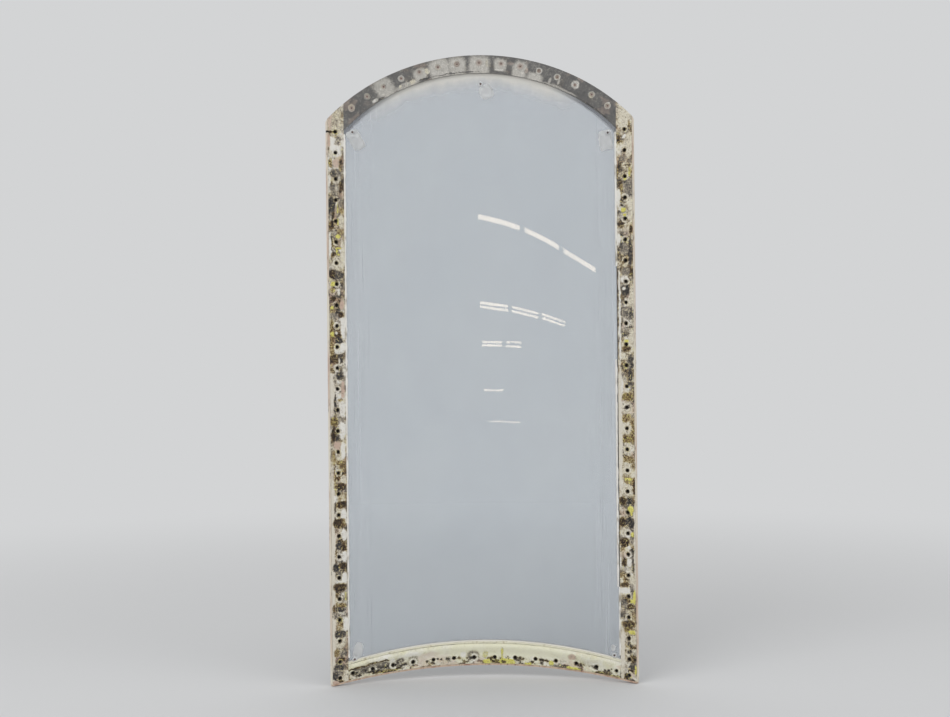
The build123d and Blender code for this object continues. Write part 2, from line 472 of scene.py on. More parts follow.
@dataclass(frozen=True)
class Stain:
    """A colour that lies in random spots over what is below it.

    The spots' pattern is read from low, where there is no stain, to high, where it has its full
    strength.
    """

    colour: str
    size: float
    stretch: Triple = (1.0, 1.0, 1.0)
    detail: float = 4.0
    roughness: float = 0.55
    distortion: float = 0.0
    low: float = 0.0
    high: float = 1.0
    strength: float = 1.0

    def cover(self, add: Adder, below: Any) -> tuple[Any, Any]:
        """Lay the stain over a colour, and give the new colour and the stain's mask."""
        look = (self.stretch, self.detail, self.roughness, self.distortion)
        pattern = spots(add, self.size, *look)
        mask = add(RANGE, {0: pattern, 1: self.low, 2: self.high, 4: self.strength})
        return add(MIX, {0: mask, 6: below, 7: self.colour}, 2, data_type="RGBA"), mask


@dataclass(frozen=True)
class StretchedAcrylic(Finish):
    """Stretched acrylic, formed and weathered: clear, with a haze that thickens at its edges and a
    painted glow just under the top rail.
    """

    shape: PanelShape = field(default_factory=PanelShape)
    clear: str = "#f3f5f7"
    milk: str = "#e0e4ec"
    crown: str = "#efece4"
    haze: float = 0.085
    crown_haze_and_glow: float = 0.4
    veil_haze_and_glow: float = 0.1
    edge_haze: float = 0.12
    scratch_haze: float = 0.2
    smudge_haze: float = 0.05
    smear_and_glow_haze: float = 0.95
    smear_and_glow_reach: float = 4.6
    smear_and_glow_fade: float = 1.2
    ragged: float = 20.0

    def reach(self, add: Adder, parts: Any, centre: float) -> Any:
        """Distance from a point of the middle plane, seen from the front."""
        rise = add(MATH, {0: parts["Z"], 1: centre * MM}, operation="SUBTRACT")
        rise = add(MATH, {0: rise, 1: 0.0}, operation="MAXIMUM")
        flat = add("ShaderNodeCombineXYZ", {"X": parts["X"], "Y": rise})
        return add(VECTOR_MATH, {0: flat}, "Value", operation="LENGTH")

    def dress(self, add: Adder, shader: bpy.types.Node) -> None:
        """Mix the clear shader with a milky one, by where the haze is."""
        fill(shader, {"IOR": 1.49, "Roughness": 0.015, "Transmission Weight": 1.0})
        fill(shader, {"Base Color": self.clear})
        place = add("ShaderNodeTexCoord", output="Object")
        parts = add("ShaderNodeSeparateXYZ", {"Vector": place}, None).outputs
        side = add(MATH, {0: parts["X"]}, operation="ABSOLUTE")
        # The haze is thickest just inside the arched top rail, with a ragged border; there the milky
        # share is also a painted glow, the soft reflection of the room's light. A smear of old sealant
        # lies along the bottom rail, and its bright strip is also a painted glow along that edge
        clouds = spots(add, 34.0, (1.0, 1.0, 0.6))
        crown = self.reach(add, parts, self.shape.outer_top.centre)
        ragged = self.ragged * MM
        crown = weighed(add, -ragged / 2, (clouds, ragged), (crown, 1.0))
        low = self.reach(add, parts, self.shape.opening_bottom.centre)
        smear_and_glow_end = self.shape.opening_bottom.radius + self.smear_and_glow_reach
        # Each zone starts and ends at a height or a distance in millimetres
        zones = {
            name: add(RANGE, {0: value, 1: start * MM, 2: end * MM})
            for name, value, start, end in (
                ("above", parts["Z"], 600.0, 680.0),
                ("rim", crown, 188.0, 214.0),
                ("veil", crown, 140.0, 210.0),
                ("left", parts["X"], -150.0, -100.0),
                ("right", parts["X"], 130.0, 85.0),
                ("edge", side, 130.0, 163.0),
                ("rubbed", side, 120.0, 150.0),
                ("smear", low, smear_and_glow_end, smear_and_glow_end - self.smear_and_glow_fade),
            )
        }
        zones |= {
            "streaky": add(RANGE, {0: spots(add, 7.0, (1.0, 1.0, 0.06), 5.0), 1: 0.35, 2: 0.65}),
            "scored": add(RANGE, {0: spots(add, 2.2, (1.0, 1.0, 0.012), 2.0), 1: 0.64, 2: 0.68}),
        }
        for first, second in (
            ("rim", "above"),
            ("rim", "rim"),
            ("rim", "left"),
            ("rim", "right"),
            ("veil", "above"),
            ("edge", "streaky"),
            ("scored", "rubbed"),
        ):
            zones[first] = add(MATH, {0: zones[first], 1: zones[second]}, operation="MULTIPLY")
        # The rim and veil shares paint a glow as well as haze: the soft reflection of the room's light
        # just under the top rail.
        total = weighed(
            add,
            self.haze,
            (zones["rim"], self.crown_haze_and_glow),
            (zones["veil"], self.veil_haze_and_glow),
            (zones["edge"], self.edge_haze),
            (zones["scored"], self.scratch_haze),
            (add(RANGE, {0: clouds, 1: 0.3, 2: 0.8}), self.smudge_haze),
        )
        # The smear share is old sealant along the bottom rail and also a painted glow: a bright whitish
        # strip at the joint.
        smear = add(MATH, {0: zones["smear"], 1: self.smear_and_glow_haze}, operation="MULTIPLY")
        total = add(MATH, {0: total, 1: smear}, operation="MAXIMUM")
        pale = add(MATH, {0: zones["rim"], 1: zones["smear"]}, operation="MAXIMUM")
        milk = add(MIX, {0: pale, 6: self.milk, 7: self.crown}, 2, data_type="RGBA")
        milk = add("ShaderNodeBsdfPrincipled", {"Base Color": milk, "Roughness": 0.3})
        mix = add("ShaderNodeMixShader", {0: total, 1: shader.outputs[0], 2: milk})
        fill(shader.id_data.nodes["Material Output"], {"Surface": mix})


@dataclass(frozen=True)
class FacingGlass(Finish):
    """Polished plate glass: clear, barely green, with fine wiper scratches."""

    def dress(self, add: Adder, shader: bpy.types.Node) -> None:
        """Clear glass that the scratches roughen."""
        scratch = spots(add, 1.2, (0.2, 0.2, 6.0), 2.0)
        rough = add(RANGE, {0: scratch, 1: 0.55, 2: 0.75, 3: 0.01, 4: 0.06})
        fill(shader, {"IOR": 1.5, "Transmission Weight": 0.985})
        fill(shader, {"Base Color": "#f3f7f8", "Roughness": rough})


@dataclass(frozen=True)
class BondFilm(Finish):
    """Soft clear film between the plies: nearly no gloss of its own."""

    def dress(self, add: Adder, shader: bpy.types.Node) -> None:
        """Clear film whose colour barely drifts."""
        colour, _ = Stain("#fbfbfb", 120.0, detail=2.0).cover(add, "#f1f3f6")
        fill(shader, {"IOR": 1.02, "Transmission Weight": 1.0, "Roughness": 0.0})
        fill(shader, {"Base Color": colour})


@dataclass(frozen=True)
class WornFinish(Finish):
    """A dull finish: a colour under stains, with a fine relief that the last stain can add to."""

    base: str = "#dcd9cf"
    worn: str = "#a39a88"
    stain_from: float = 0.52
    depth: float = 0.15
    ROUGHNESS: ClassVar[float] = 0.55
    GRAIN: ClassVar[float] = 1.5
    RAISED: ClassVar[float] = 0.0

    def stains(self) -> Sequence[Stain]:
        """The stains, from the lowest to the highest."""
        raise NotImplementedError

    def dress(self, add: Adder, shader: bpy.types.Node) -> None:
        """Lay the stains over the base colour, and add the relief."""
        colour, mask = self.base, 0.0
        for stain in self.stains():
            colour, mask = stain.cover(add, colour)
        height = weighed(add, spots(add, self.GRAIN), (mask, self.RAISED))
        bump = add("ShaderNodeBump", {"Height": height, "Distance": self.depth * MM})
        fill(shader, {"Base Color": colour, "Roughness": self.ROUGHNESS, "Normal": bump})


@dataclass(frozen=True)
class SealantBead(WornFinish):
    """Cured sealant in a bead: matt, a little dirty along its length."""

    def stains(self) -> Sequence[Stain]:
        """Dirt along the bead."""
        low, high = self.stain_from, self.stain_from + 0.14
        return [Stain(self.worn, 7.0, (1.0, 1.0, 0.35), 6.0, 0.62, low=low, high=high)]


@dataclass(frozen=True)
class RailLaminate(WornFinish):
    """Cloth-filled edge laminate, moulded: dull grey with a faint weave and stains."""

    base: str = "#4c4a47"
    worn: str = "#77766f"
    stain_from: float = 0.35
    depth: float = 0.25
    ROUGHNESS: ClassVar[float] = 0.62
    # Weave of the filling cloth, 0.8 mm between threads
    GRAIN: ClassVar[float] = 0.8
    RAISED: ClassVar[float] = 1.0

    def stains(self) -> Sequence[Stain]:
        """Light clouds, brown spots and a pale film."""
        return [
            Stain(self.worn, 14.0, detail=6.0, low=self.stain_from, high=0.68),
            Stain("#86795f", 5.0, (1.0, 1.0, 0.5), 6.0, 0.65, 0.4, 0.5, 0.7),
            Stain("#a8a191", 9.0, (1.0, 1.0, 0.35), 8.0, 0.7, 0.6, 0.54, 0.68, 0.75),
        ]


@dataclass(frozen=True)
class LayeredEdge(WornFinish):
    """Cut edge of the seal: cream and pinkish layers that run along the panel."""

    base: str = "#e2dbca"
    worn: str = "#c6ab9a"
    stain_from: float = 0.46
    depth: float = 0.2
    ROUGHNESS: ClassVar[float] = 0.6
    GRAIN: ClassVar[float] = 1.0

    def stains(self) -> Sequence[Stain]:
        """Pinkish layers and dark chips."""
        low, high = self.stain_from, self.stain_from + 0.2
        return [
            Stain(self.worn, 9.0, (1.0, 1.0, 0.12), 6.0, 0.65, low=low, high=high),
            Stain("#5b4a3e", 4.0, (1.0, 1.0, 0.3), 7.0, 0.72, 0.4, 0.56, 0.66, 0.85),
        ]


@dataclass(frozen=True)
class PadResidue(Finish):
    """Thin residue of adhesive on the pane: whitish, half clear and dull."""

    def dress(self, add: Adder, shader: bpy.types.Node) -> None:
        """Whitish film that is clearer in spots."""
        clear = add(RANGE, {0: spots(add, 3.0, detail=5.0), 1: 0.35, 2: 0.65, 3: 0.38, 4: 0.76})
        bump = add("ShaderNodeBump", {"Height": spots(add, 1.0), "Distance": 0.1 * MM})
        fill(shader, {"Base Color": "#f8f9f9", "Roughness": 0.5, "IOR": 1.45})
        fill(shader, {"Transmission Weight": clear, "Normal": bump})


@dataclass(frozen=True)
class HoleShadeAndResidue(Finish):
    """Painted shade packed in the screw holes: a matt, almost black fill for the dark inside the holes,
    which turns a pinkish residue colour in the top rail.
    """

    rust: str = "#ab9c93"
    rust_above: float = 680.0

    def dress(self, add: Adder, shader: bpy.types.Node) -> None:
        """Near black that gives way to the rust colour above a height."""
        colour, _ = Stain("#2e2923", 0.8).cover(add, "#161412")
        place = add("ShaderNodeTexCoord", output="Object")
        height = add("ShaderNodeSeparateXYZ", {"Vector": place}, "Z")
        low, high = self.rust_above * MM, (self.rust_above + 10.0) * MM
        top = add(RANGE, {0: height, 1: low, 2: high, 4: 0.94})
        colour = add(MIX, {0: top, 6: colour, 7: self.rust}, 2, data_type="RGBA")
        fill(shader, {"Base Color": colour, "Roughness": 0.9})


class Mask(Enum):
    """What the crust's mesh tells its finish at a spot, in the order of the mask channels."""

    LEVEL = 0
    WARMTH = 1
    YELLOW = 2
    PINK = 3
    SMOOTH = 4


MASK_LAYERS = {"MaskA": tuple(Mask)[:3], "MaskB": tuple(Mask)[3:]}


@dataclass(frozen=True)
class CrustedSealant(Finish):
    """Old sealant on a rail: dark pits, stained slopes and a pale crest.

    The mesh carries the masks in two colour attributes. The level picks a shade, and fine noise
    breaks up every border.
    """

    plain: Shades = (
        (0.02, "#2b2a2a"), (0.2, "#55524e"), (0.4, "#827a6f"),
        (0.56, "#b0a798"), (0.7, "#d2cabb"), (0.88, "#ebe9e2"),
    )
    stained: Shades = (
        (0.02, "#281f17"), (0.2, "#4d3a27"), (0.38, "#80673f"),
        (0.54, "#b39e6e"), (0.7, "#d4caab"), (0.88, "#e9e4d2"),
    )
    yellow: str = "#d4c843"
    yellow_pale: str = "#ebe68f"
    pink: str = "#c9a998"
    wobble: float = 1.1
    flecks: float = 0.42
    roughness: float = 0.42
    depth: float = 0.5

    @staticmethod
    def shades(add: Adder, value: Any, stops: Shades) -> Any:
        """Pick a shade by value from a row of stops."""
        node = add("ShaderNodeValToRGB", {"Fac": value}, None)
        elements = node.color_ramp.elements
        while len(elements) < len(stops):
            elements.new(0.5)
        for element, (position, colour) in zip(elements, stops):
            element.position = position
            element.color = linear(colour)
        return node.outputs["Color"]

    def dress(self, add: Adder, shader: bpy.types.Node) -> None:
        """Read the masks, shift them by the noise and pick the colours."""
        masks: dict[Mask, Any] = {}
        for label, kinds in MASK_LAYERS.items():
            layer = add("ShaderNodeAttribute", None, "Color", attribute_name=label)
            masks.update(zip(kinds, add("ShaderNodeSeparateColor", {"Color": layer}, None).outputs))
        # Crumbs of 3.4 mm, 1.2 mm and 0.4 mm, with chips and pits of 2 mm
        crumbs = spots(add, 3.4, roughness=0.62, distortion=0.9)
        fine = spots(add, 1.2, detail=3.0, roughness=0.65, distortion=0.4)
        specks = spots(add, 2.0, (1.0, 0.8, 1.0), 3.0, 0.5, 1.2)
        chips = add(RANGE, {0: specks, 1: 0.57, 2: 0.63})
        pits = add(RANGE, {0: specks, 1: 0.4, 2: 0.33})
        shift = weighed(add, -1.0, (crumbs, 1.0), (fine, 1.0))
        shift = weighed(add, shift, (chips, self.flecks), (pits, -self.flecks))
        calm = add(RANGE, {0: masks[Mask.SMOOTH], 3: self.wobble, 4: self.wobble * 0.12})
        moved = {
            kind: add(MATH, {0: calm, 1: shift, 2: masks[kind]}, operation="MULTIPLY_ADD")
            for kind in (Mask.LEVEL, Mask.WARMTH, Mask.PINK, Mask.YELLOW)
        }
        level = moved[Mask.LEVEL]
        gold = add(RANGE, {0: fine, 1: 0.35, 2: 0.62})
        gold = add(MIX, {0: gold, 6: self.yellow, 7: self.yellow_pale}, 2, data_type="RGBA")
        lump = add(RANGE, {0: moved[Mask.YELLOW], 1: 0.38, 2: 0.62})
        colour = self.shades(add, level, self.plain)
        for mask, above in (
            (
                add(RANGE, {0: moved[Mask.WARMTH], 1: 0.15, 2: 0.85}),
                self.shades(add, level, self.stained),
            ),
            (add(RANGE, {0: moved[Mask.PINK], 1: 0.2, 4: 0.85}), self.pink),
            (lump, gold),
        ):
            colour = add(MIX, {0: mask, 6: colour, 7: above}, 2, data_type="RGBA")
        rough = add(RANGE, {0: level, 1: 0.1, 2: 0.8, 3: self.roughness + 0.3, 4: self.roughness})
        height = weighed(add, level, (spots(add, 0.4, detail=2.0), 0.12), (lump, 0.3))
        bump = add("ShaderNodeBump", {"Height": height, "Distance": self.depth * MM})
        fill(shader, {"Base Color": colour, "Roughness": rough, "Normal": bump})


# Glazing


@dataclass(frozen=True)
class Ring:
    """One outline of a bent sheet: its radius, its half angle and its lower and upper arcs."""

    radius: float
    angle: float
    lower: Arc
    upper: Arc

    def points(self, shape: PanelShape, columns: int) -> np.ndarray:
        """Points along the lower edge to the right, then along the upper edge to the left."""
        angles = np.linspace(-self.angle, self.angle, columns + 1)
        across = self.radius * np.sin(angles)
        low = shape.wrap(angles, self.lower.height(across), self.radius)
        high = shape.wrap(angles, self.upper.height(across), self.radius)
        return np.concatenate([low, high[::-1]])


@dataclass
class Glazing:
    """The three clear layers, each replacing the CAD solid with a finely bent one."""

    shape: PanelShape
    columns: int = 144
    layer_gap: float = 0.05

    def sheet(self, name: str, rings: Sequence[Ring], finish: Finish, slot: str) -> None:
        """Make one closed sheet from its outlines and let it stand for its CAD node.

        Args:
            name: Name of the CAD node.
            rings: Outlines from the cabin face to the weather face.
            finish: The sheet's finish.
            slot: The record's material slot; not used.
        """
        points = np.stack([ring.points(self.shape, self.columns) for ring in rings])
        rows = np.arange(points.shape[0] * points.shape[1]).reshape(points.shape[:2])
        faces = bands(rows)
        half = self.columns + 1
        for row in rows[[0, -1]]:
            low, high = row[:half], row[half:][::-1]
            faces += np.stack([low[:-1], low[1:], high[1:], high[:-1]], axis=-1).tolist()
        piece = make_piece(f"{name}_bent", points.reshape(-1, 3), faces, finish, slot, 30.0)
        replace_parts(piece, name)

    def build(self) -> None:
        """Build the structural ply with its tongue, the interlayer and the facing ply."""
        shape, gap, bevel = self.shape, self.layer_gap, self.shape.facing_bevel
        tongue = (
            shape.rail_angle + shape.tongue_reach / shape.bend_radius,
            shape.opening_bottom.grown(-shape.tongue_reach),
            shape.opening_top.grown(shape.tongue_reach),
        )
        pane = (shape.pane_angle, shape.pane_bottom, shape.pane_top)
        inset = (
            shape.pane_angle - bevel / shape.facing_face,
            shape.pane_bottom.grown(bevel),
            shape.pane_top.grown(-bevel),
        )
        step = shape.structural_face - shape.weather_lip
        for name, rings, finish, slot in (
            (
                "structural_ply",
                [
                    Ring(shape.bend_radius, *tongue),
                    Ring(step, *tongue),
                    Ring(step, *pane),
                    Ring(shape.structural_face, *pane),
                ],
                StretchedAcrylic("stretched_acrylic", shape),
                "clear_ply",
            ),
            (
                "interlayer",
                [Ring(shape.structural_face + gap, *pane), Ring(shape.interlayer_face - gap, *pane)],
                BondFilm("bond_film"),
                "interlayer_film",
            ),
            (
                "facing_ply",
                [
                    Ring(shape.interlayer_face, *pane),
                    Ring(shape.facing_face - bevel, *pane),
                    Ring(shape.facing_face, *inset),
                ],
                FacingGlass("facing_glass"),
                "facing_glass",
            ),
        ):
            self.sheet(name, rings, finish, slot)


# Crusted rails


class Tint(Enum):
    """What a mark turns the crust into: its level, warmth, yellow, pink and smoothness."""

    SLATE = (0.08, 0.05, 0.0, 0.0, 0.1)
    BROWN = (0.07, 0.85, 0.0, 0.0, 0.1)
    TAUPE = (0.38, 0.1, 0.0, 0.0, 0.2)
    OCHRE = (0.4, 1.0, 0.12, 0.0, 0.0)
    OLIVE = (0.34, 0.9, 0.25, 0.0, 0.0)
    CREAM = (0.74, 0.5, 0.1, 0.0, 0.4)
    BUTTER = (0.93, 0.8, 0.0, 0.0, 0.75)
    WHITE = (0.98, 0.1, 0.0, 0.0, 0.45)
    YELLOW = (0.7, 0.7, 0.95, 0.0, 0.1)
    PINK = (0.66, 0.3, 0.0, 0.85, 0.4)
    BAND = (0.76, 0.3, 0.0, 0.2, 1.0)
    VEIL = (0.76, 0.1, 0.0, 0.0, 0.85)


@dataclass(frozen=True)
class Mark:
    """A spot of one tint on a rail: where it is, how far it reaches and how strong it is."""

    tint: Tint
    across: float
    along: float
    half_across: float
    half_along: float
    strength: float = 1.0
    squareness: float = 2.4

    def inside(self, across: np.ndarray, along: np.ndarray) -> np.ndarray:
        """How much of the mark there is at some points, from 0 to its strength."""
        side = np.abs((across - self.across) / self.half_across) ** self.squareness
        rise = np.abs((along - self.along) / self.half_along) ** self.squareness
        return ramp(1.35 - (side + rise) ** (1 / self.squareness), 0.0, 0.6) * self.strength


@dataclass
class DrilledSkin:
    """The crust on a drilled rail's cabin face: a closed relief with its screw holes open.

    Each hole has a cell of its own, meshed from the hole's circle out to the cell's border.
    """

    shape: PanelShape
    name: str
    seed: int
    marks: tuple[Mark, ...] = ()
    finish: CrustedSealant = field(default_factory=lambda: CrustedSealant("crusted_sealant"))
    columns: int = 20
    rows: int = 26
    rings: int = 15
    level: float = 0.53
    level_spread: float = 1.2
    warmth: float = 0.42
    smooth: float = 0.05
    disc_level: float = 0.8
    disc_radius: float = 4.9
    disc_share: float = 0.85
    collar: float = 0.38
    disc_ragged: float = 1.8
    swirl_spacing: float = 2.1
    swirl_depth: float = 0.07
    rim_depth: float = 0.12
    rim_width: float = 0.55
    collar_width: float = 0.8
    warp: float = 3.0
    crust_height: float = 0.5
    lump_height: float = 0.5
    floor_height: float = 0.02
    margin: float = 0.02
    slot: str = "edge_sealant"

    def holes(self) -> list[Triple]:
        """Centre of each hole on the chart, and how much the chart narrows it."""
        raise NotImplementedError

    def cell_point(self, cell: int, first: np.ndarray, second: np.ndarray) -> np.ndarray:
        """Chart place of a point of a cell, from its shares of the cell's two sides."""
        raise NotImplementedError

    def place(self, chart: np.ndarray, height: np.ndarray) -> np.ndarray:
        """Points in the panel's frame at chart places and heights above the rail's face."""
        raise NotImplementedError

    def outer_sides(self, is_first: bool, is_last: bool) -> list[bool]:
        """Which of a cell's four sides lie on the skin's own border, in the border's order."""
        raise NotImplementedError

    def measure(self, chart: np.ndarray) -> tuple[np.ndarray, np.ndarray]:
        """Distances across and along the rail, which the marks are given in."""
        return chart[..., 0], chart[..., 1]

    def extra_height(self, across: np.ndarray, along: np.ndarray) -> np.ndarray:
        """Form that a kind of rail adds to the relief."""
        return np.zeros_like(across)

    def field_at(self, number: int, across: Any, along: Any, grain: float) -> np.ndarray:
        """One of the skin's own random fields, from -0.5 to 0.5."""
        return RandomField(self.seed + 13 * number).layered(across, along, grain) - 0.5

    @staticmethod
    def between(cell: int, centres: Sequence[float], low: Any, high: Any) -> tuple[Any, Any]:
        """Ends of a cell: half-way to the next holes, or else the rail's own ends."""
        start = low if cell == 0 else (centres[cell - 1] + centres[cell]) / 2
        stop = high if cell == len(centres) - 1 else (centres[cell] + centres[cell + 1]) / 2
        return start, stop

    def masks(
        self, across: np.ndarray, along: np.ndarray, reach: np.ndarray, hole: np.ndarray
    ) -> dict[Mask, np.ndarray]:
        """Work out every mask at some points.

        Args:
            across: Distances across the rail.
            along: Distances along the rail.
            reach: Distances from the hole's centre.
            hole: A number for each point's hole.

        Returns:
            A value for each mask.
        """
        streaky = self.field_at(1, across, along * 0.75, 8.0)
        blotchy = self.field_at(2, across, along, 4.5)
        values = {
            Mask.LEVEL: self.level + self.level_spread * (0.9 * streaky + 0.7 * blotchy),
            Mask.WARMTH: self.warmth + 1.6 * self.field_at(3, across, along, 11.0),
            Mask.YELLOW: np.zeros_like(across),
            Mask.PINK: ramp(self.field_at(4, across, along * 0.6, 12.0), 0.06, 0.22) * 0.5,
            Mask.SMOOTH: np.full_like(across, self.smooth),
        }
        drift = self.warp * self.field_at(5, across, along, 5.0)
        slide = self.warp * self.field_at(6, across, along, 5.0)
        for mark in self.marks:
            inside = mark.inside(across + drift, along + slide)
            for mask, goal in zip(Mask, mark.tint.value):
                values[mask] = values[mask] + (goal - values[mask]) * inside
        # The disc that a washer left round the hole, with its dark rim and yellow collar
        lot = RandomField(self.seed + 61)
        radius = self.disc_radius * (0.75 + 0.5 * lot.value(hole * 3.7, hole, 1.0))
        radius = radius + self.disc_ragged * self.field_at(7, across, along, 3.0)
        share = self.disc_share * (0.4 + 0.6 * ramp(lot.value(hole * 5.1, hole, 1.0), 0.15, 0.6))
        share = share * ramp(self.field_at(9, across, along, 6.0), -0.22, 0.04)
        disc = ramp(radius - reach, -0.5, 0.7) * share
        waves = (reach + drift * 0.3) / self.swirl_spacing
        swirl = self.swirl_depth * np.cos(waves * 2 * math.pi)
        values[Mask.LEVEL] += (self.disc_level + swirl - values[Mask.LEVEL]) * disc
        rim = np.exp(-(((reach - radius - 0.4) / self.rim_width) ** 2)) * share
        values[Mask.LEVEL] -= self.rim_depth * rim
        tinge = ramp(lot.value(hole * 7.3, hole, 1.0), 0.35, 0.7)
        collar = (reach - self.shape.hole_radius - 1.0) / self.collar_width
        values[Mask.YELLOW] += self.collar * tinge * np.exp(-(collar**2))
        # Painted shade and dirt: the crust darkens just round each hole's mouth, for its shaded edge and
        # a dirt ring.
        mouth = ramp(self.shape.hole_radius + 0.5 - reach, -0.2, 0.5)
        values[Mask.LEVEL] -= 0.5 * mouth
        values[Mask.SMOOTH] = np.maximum(values[Mask.SMOOTH], 0.3 * disc)
        return {mask: np.clip(value, 0.0, 1.0) for mask, value in values.items()}

    def relief(
        self,
        across: np.ndarray,
        along: np.ndarray,
        reach: np.ndarray,
        masks: dict[Mask, np.ndarray],
    ) -> np.ndarray:
        """Height of the crust above the rail's face."""
        rough = self.field_at(8, across, along, 2.5) * (1 - 0.8 * masks[Mask.SMOOTH])
        height = 0.06 + self.crust_height * (masks[Mask.LEVEL] + 0.5 * rough)
        height = height + self.lump_height * masks[Mask.YELLOW] * (1 + 2 * rough)
        mouth = ramp(self.shape.hole_radius + 0.9 - reach, 0.0, 0.9)
        height = height * (1 - 0.6 * mouth)
        return np.maximum(height + self.extra_height(across, along), 0.05)

    def build(self) -> bpy.types.Object:
        """Build the closed skin."""
        holes = self.holes()
        steps = (self.columns, self.rows)
        run, climb = (np.linspace(0, 1, count, endpoint=False) for count in steps)
        first = np.concatenate([run, np.ones_like(climb), 1 - run, np.zeros_like(climb)])
        second = np.concatenate([np.zeros_like(run), climb, np.ones_like(run), 1 - climb])
        count = len(first)
        shares = np.linspace(0, 1, self.rings + 1) ** 1.25
        size = count * len(shares)
        charts, reaches, floors, faces = [], [], [], []
        for cell, (middle_across, middle_along, narrowing) in enumerate(holes):
            # The chart narrows a round hole by the last number, and dividing by it undoes that
            middle, narrow = np.array([middle_across, middle_along]), np.array([narrowing, 1.0])
            border = self.cell_point(cell, first, second)
            side, rise = ((border - middle) / narrow).T
            turn = np.arctan2(rise, side)
            round_hole = np.stack([np.cos(turn), np.sin(turn)], axis=-1) * narrow
            circle = middle + self.shape.hole_radius * round_hole
            rings = circle + (border - circle) * shares[:, None, None]
            charts.append(rings.reshape(-1, 2))
            reaches.append(np.linalg.norm((rings - middle) / narrow, axis=-1).ravel())
            floors.append(np.concatenate([circle, border]))
            # Corner numbers: first every cell's rings, then the two floor rows of every cell
            top = cell * size + np.arange(size).reshape(-1, count)
            floor = len(holes) * size + cell * 2 * count + np.arange(2 * count).reshape(2, count)
            faces += bands(top) + bands(floor) + band(top[0], floor[0])
            outer = np.repeat(self.outer_sides(cell == 0, cell == len(holes) - 1), steps * 2)
            faces += [face for face, kept in zip(band(top[-1], floor[1]), outer) if kept]
        chart, floor_chart = np.concatenate(charts), np.concatenate(floors)
        across, along = self.measure(chart)
        reach, number = np.concatenate(reaches), np.repeat(np.arange(float(len(holes))), size)
        masks = self.masks(across, along, reach, number)
        height = self.relief(across, along, reach, masks)
        low = self.place(floor_chart, np.full(len(floor_chart), self.floor_height))
        points = np.concatenate([self.place(chart, height), low])
        layers = {}
        for label, kinds in MASK_LAYERS.items():
            layers[label] = np.zeros((len(points), 4))
            for channel, mask in enumerate(kinds):
                layers[label][: len(chart), channel] = masks[mask]
        return make_piece(self.name, points, faces, self.finish, self.slot, 55.0, layers)


@dataclass
class SideSkin(DrilledSkin):
    """Crust on a flat side rail. The chart is the distance in from the outer edge, and height."""

    side: int = 1
    run_count: int = 24
    run_start: float = 29.0
    run_end_drop: float = 68.8
    corner_height: float = 9.5
    upper_drop: float = 37.0
    corner_drop: float = 11.6
    overlap: float = 0.3

    def heights(self) -> list[float]:
        """Heights of the screw holes."""
        length = self.shape.side_length
        run = np.linspace(self.run_start, length - self.run_end_drop, self.run_count).tolist()
        return [self.corner_height, *run, length - self.upper_drop, length - self.corner_drop]

    def holes(self) -> list[Triple]:
        """Centre of each hole, in from the edge and up."""
        return [(self.shape.edge_distance, height, 1.0) for height in self.heights()]

    def front_across(self, inboard: np.ndarray) -> np.ndarray:
        """Distance from the middle plane of a point on the cabin face."""
        corner = self.shape.structural_face * math.sin(self.shape.edge_angle)
        tilt = self.shape.tilt
        return corner - inboard * math.cos(tilt) - self.shape.rail_thickness * math.sin(tilt)

    def cell_point(self, cell: int, first: np.ndarray, second: np.ndarray) -> np.ndarray:
        """Chart place inside one hole's length of the rail."""
        inboard = self.margin + first * (self.shape.side_rail_width + self.overlap)
        across = self.front_across(inboard)
        low = self.shape.rail_bottom.height(across) + self.margin
        high = self.shape.outer_top.height(across) - self.margin
        low, high = self.between(cell, self.heights(), low, high)
        return np.stack([inboard, low + (high - low) * second], axis=-1)

    def place(self, chart: np.ndarray, height: np.ndarray) -> np.ndarray:
        """Points on the tilted cabin face."""
        shape, tilt = self.shape, self.shape.tilt
        flat = shape.structural_face * math.sin(shape.edge_angle) - chart[:, 0] * math.cos(tilt)
        deep = shape.structural_face * math.cos(shape.edge_angle) + chart[:, 0] * math.sin(tilt)
        lift = shape.rail_thickness + height
        flat = flat - lift * math.sin(tilt)
        deep = shape.bend_axis + deep - lift * math.cos(tilt)
        return np.stack([self.side * flat, deep, chart[:, 1]], axis=-1)

    def outer_sides(self, is_first: bool, is_last: bool) -> list[bool]:
        """The cells follow each other upward, so both long sides are always outer ones."""
        return [is_first, True, is_last, True]


@dataclass
class BentSkin(DrilledSkin):
    """Crust on a rail that follows the bend. The chart is the front view."""

    columns: int = 26
    rows: int = 20

    def holes_at(self, stations: Sequence[tuple[float, float]]) -> list[Triple]:
        """Centres of holes given by their front-view places."""
        face = self.shape.rail_face
        return [
            (face * across / self.shape.bend_radius, height, math.sqrt(1 - (across / face) ** 2))
            for across, height in stations
        ]

    def place(self, chart: np.ndarray, height: np.ndarray) -> np.ndarray:
        """Points on the bent cabin face, square to it."""
        face = self.shape.rail_face
        return self.shape.wrap(np.arcsin(chart[:, 0] / face), chart[:, 1], face - height)

    def outer_sides(self, is_first: bool, is_last: bool) -> list[bool]:
        """The cells follow each other across, so the lower and upper sides are outer ones."""
        return [True, is_last, True, is_first]

    @property
    def end_across(self) -> float:
        """Distance from the middle plane of the rail's ends, on its cabin face."""
        return self.shape.rail_face * math.sin(self.shape.cross_angle)


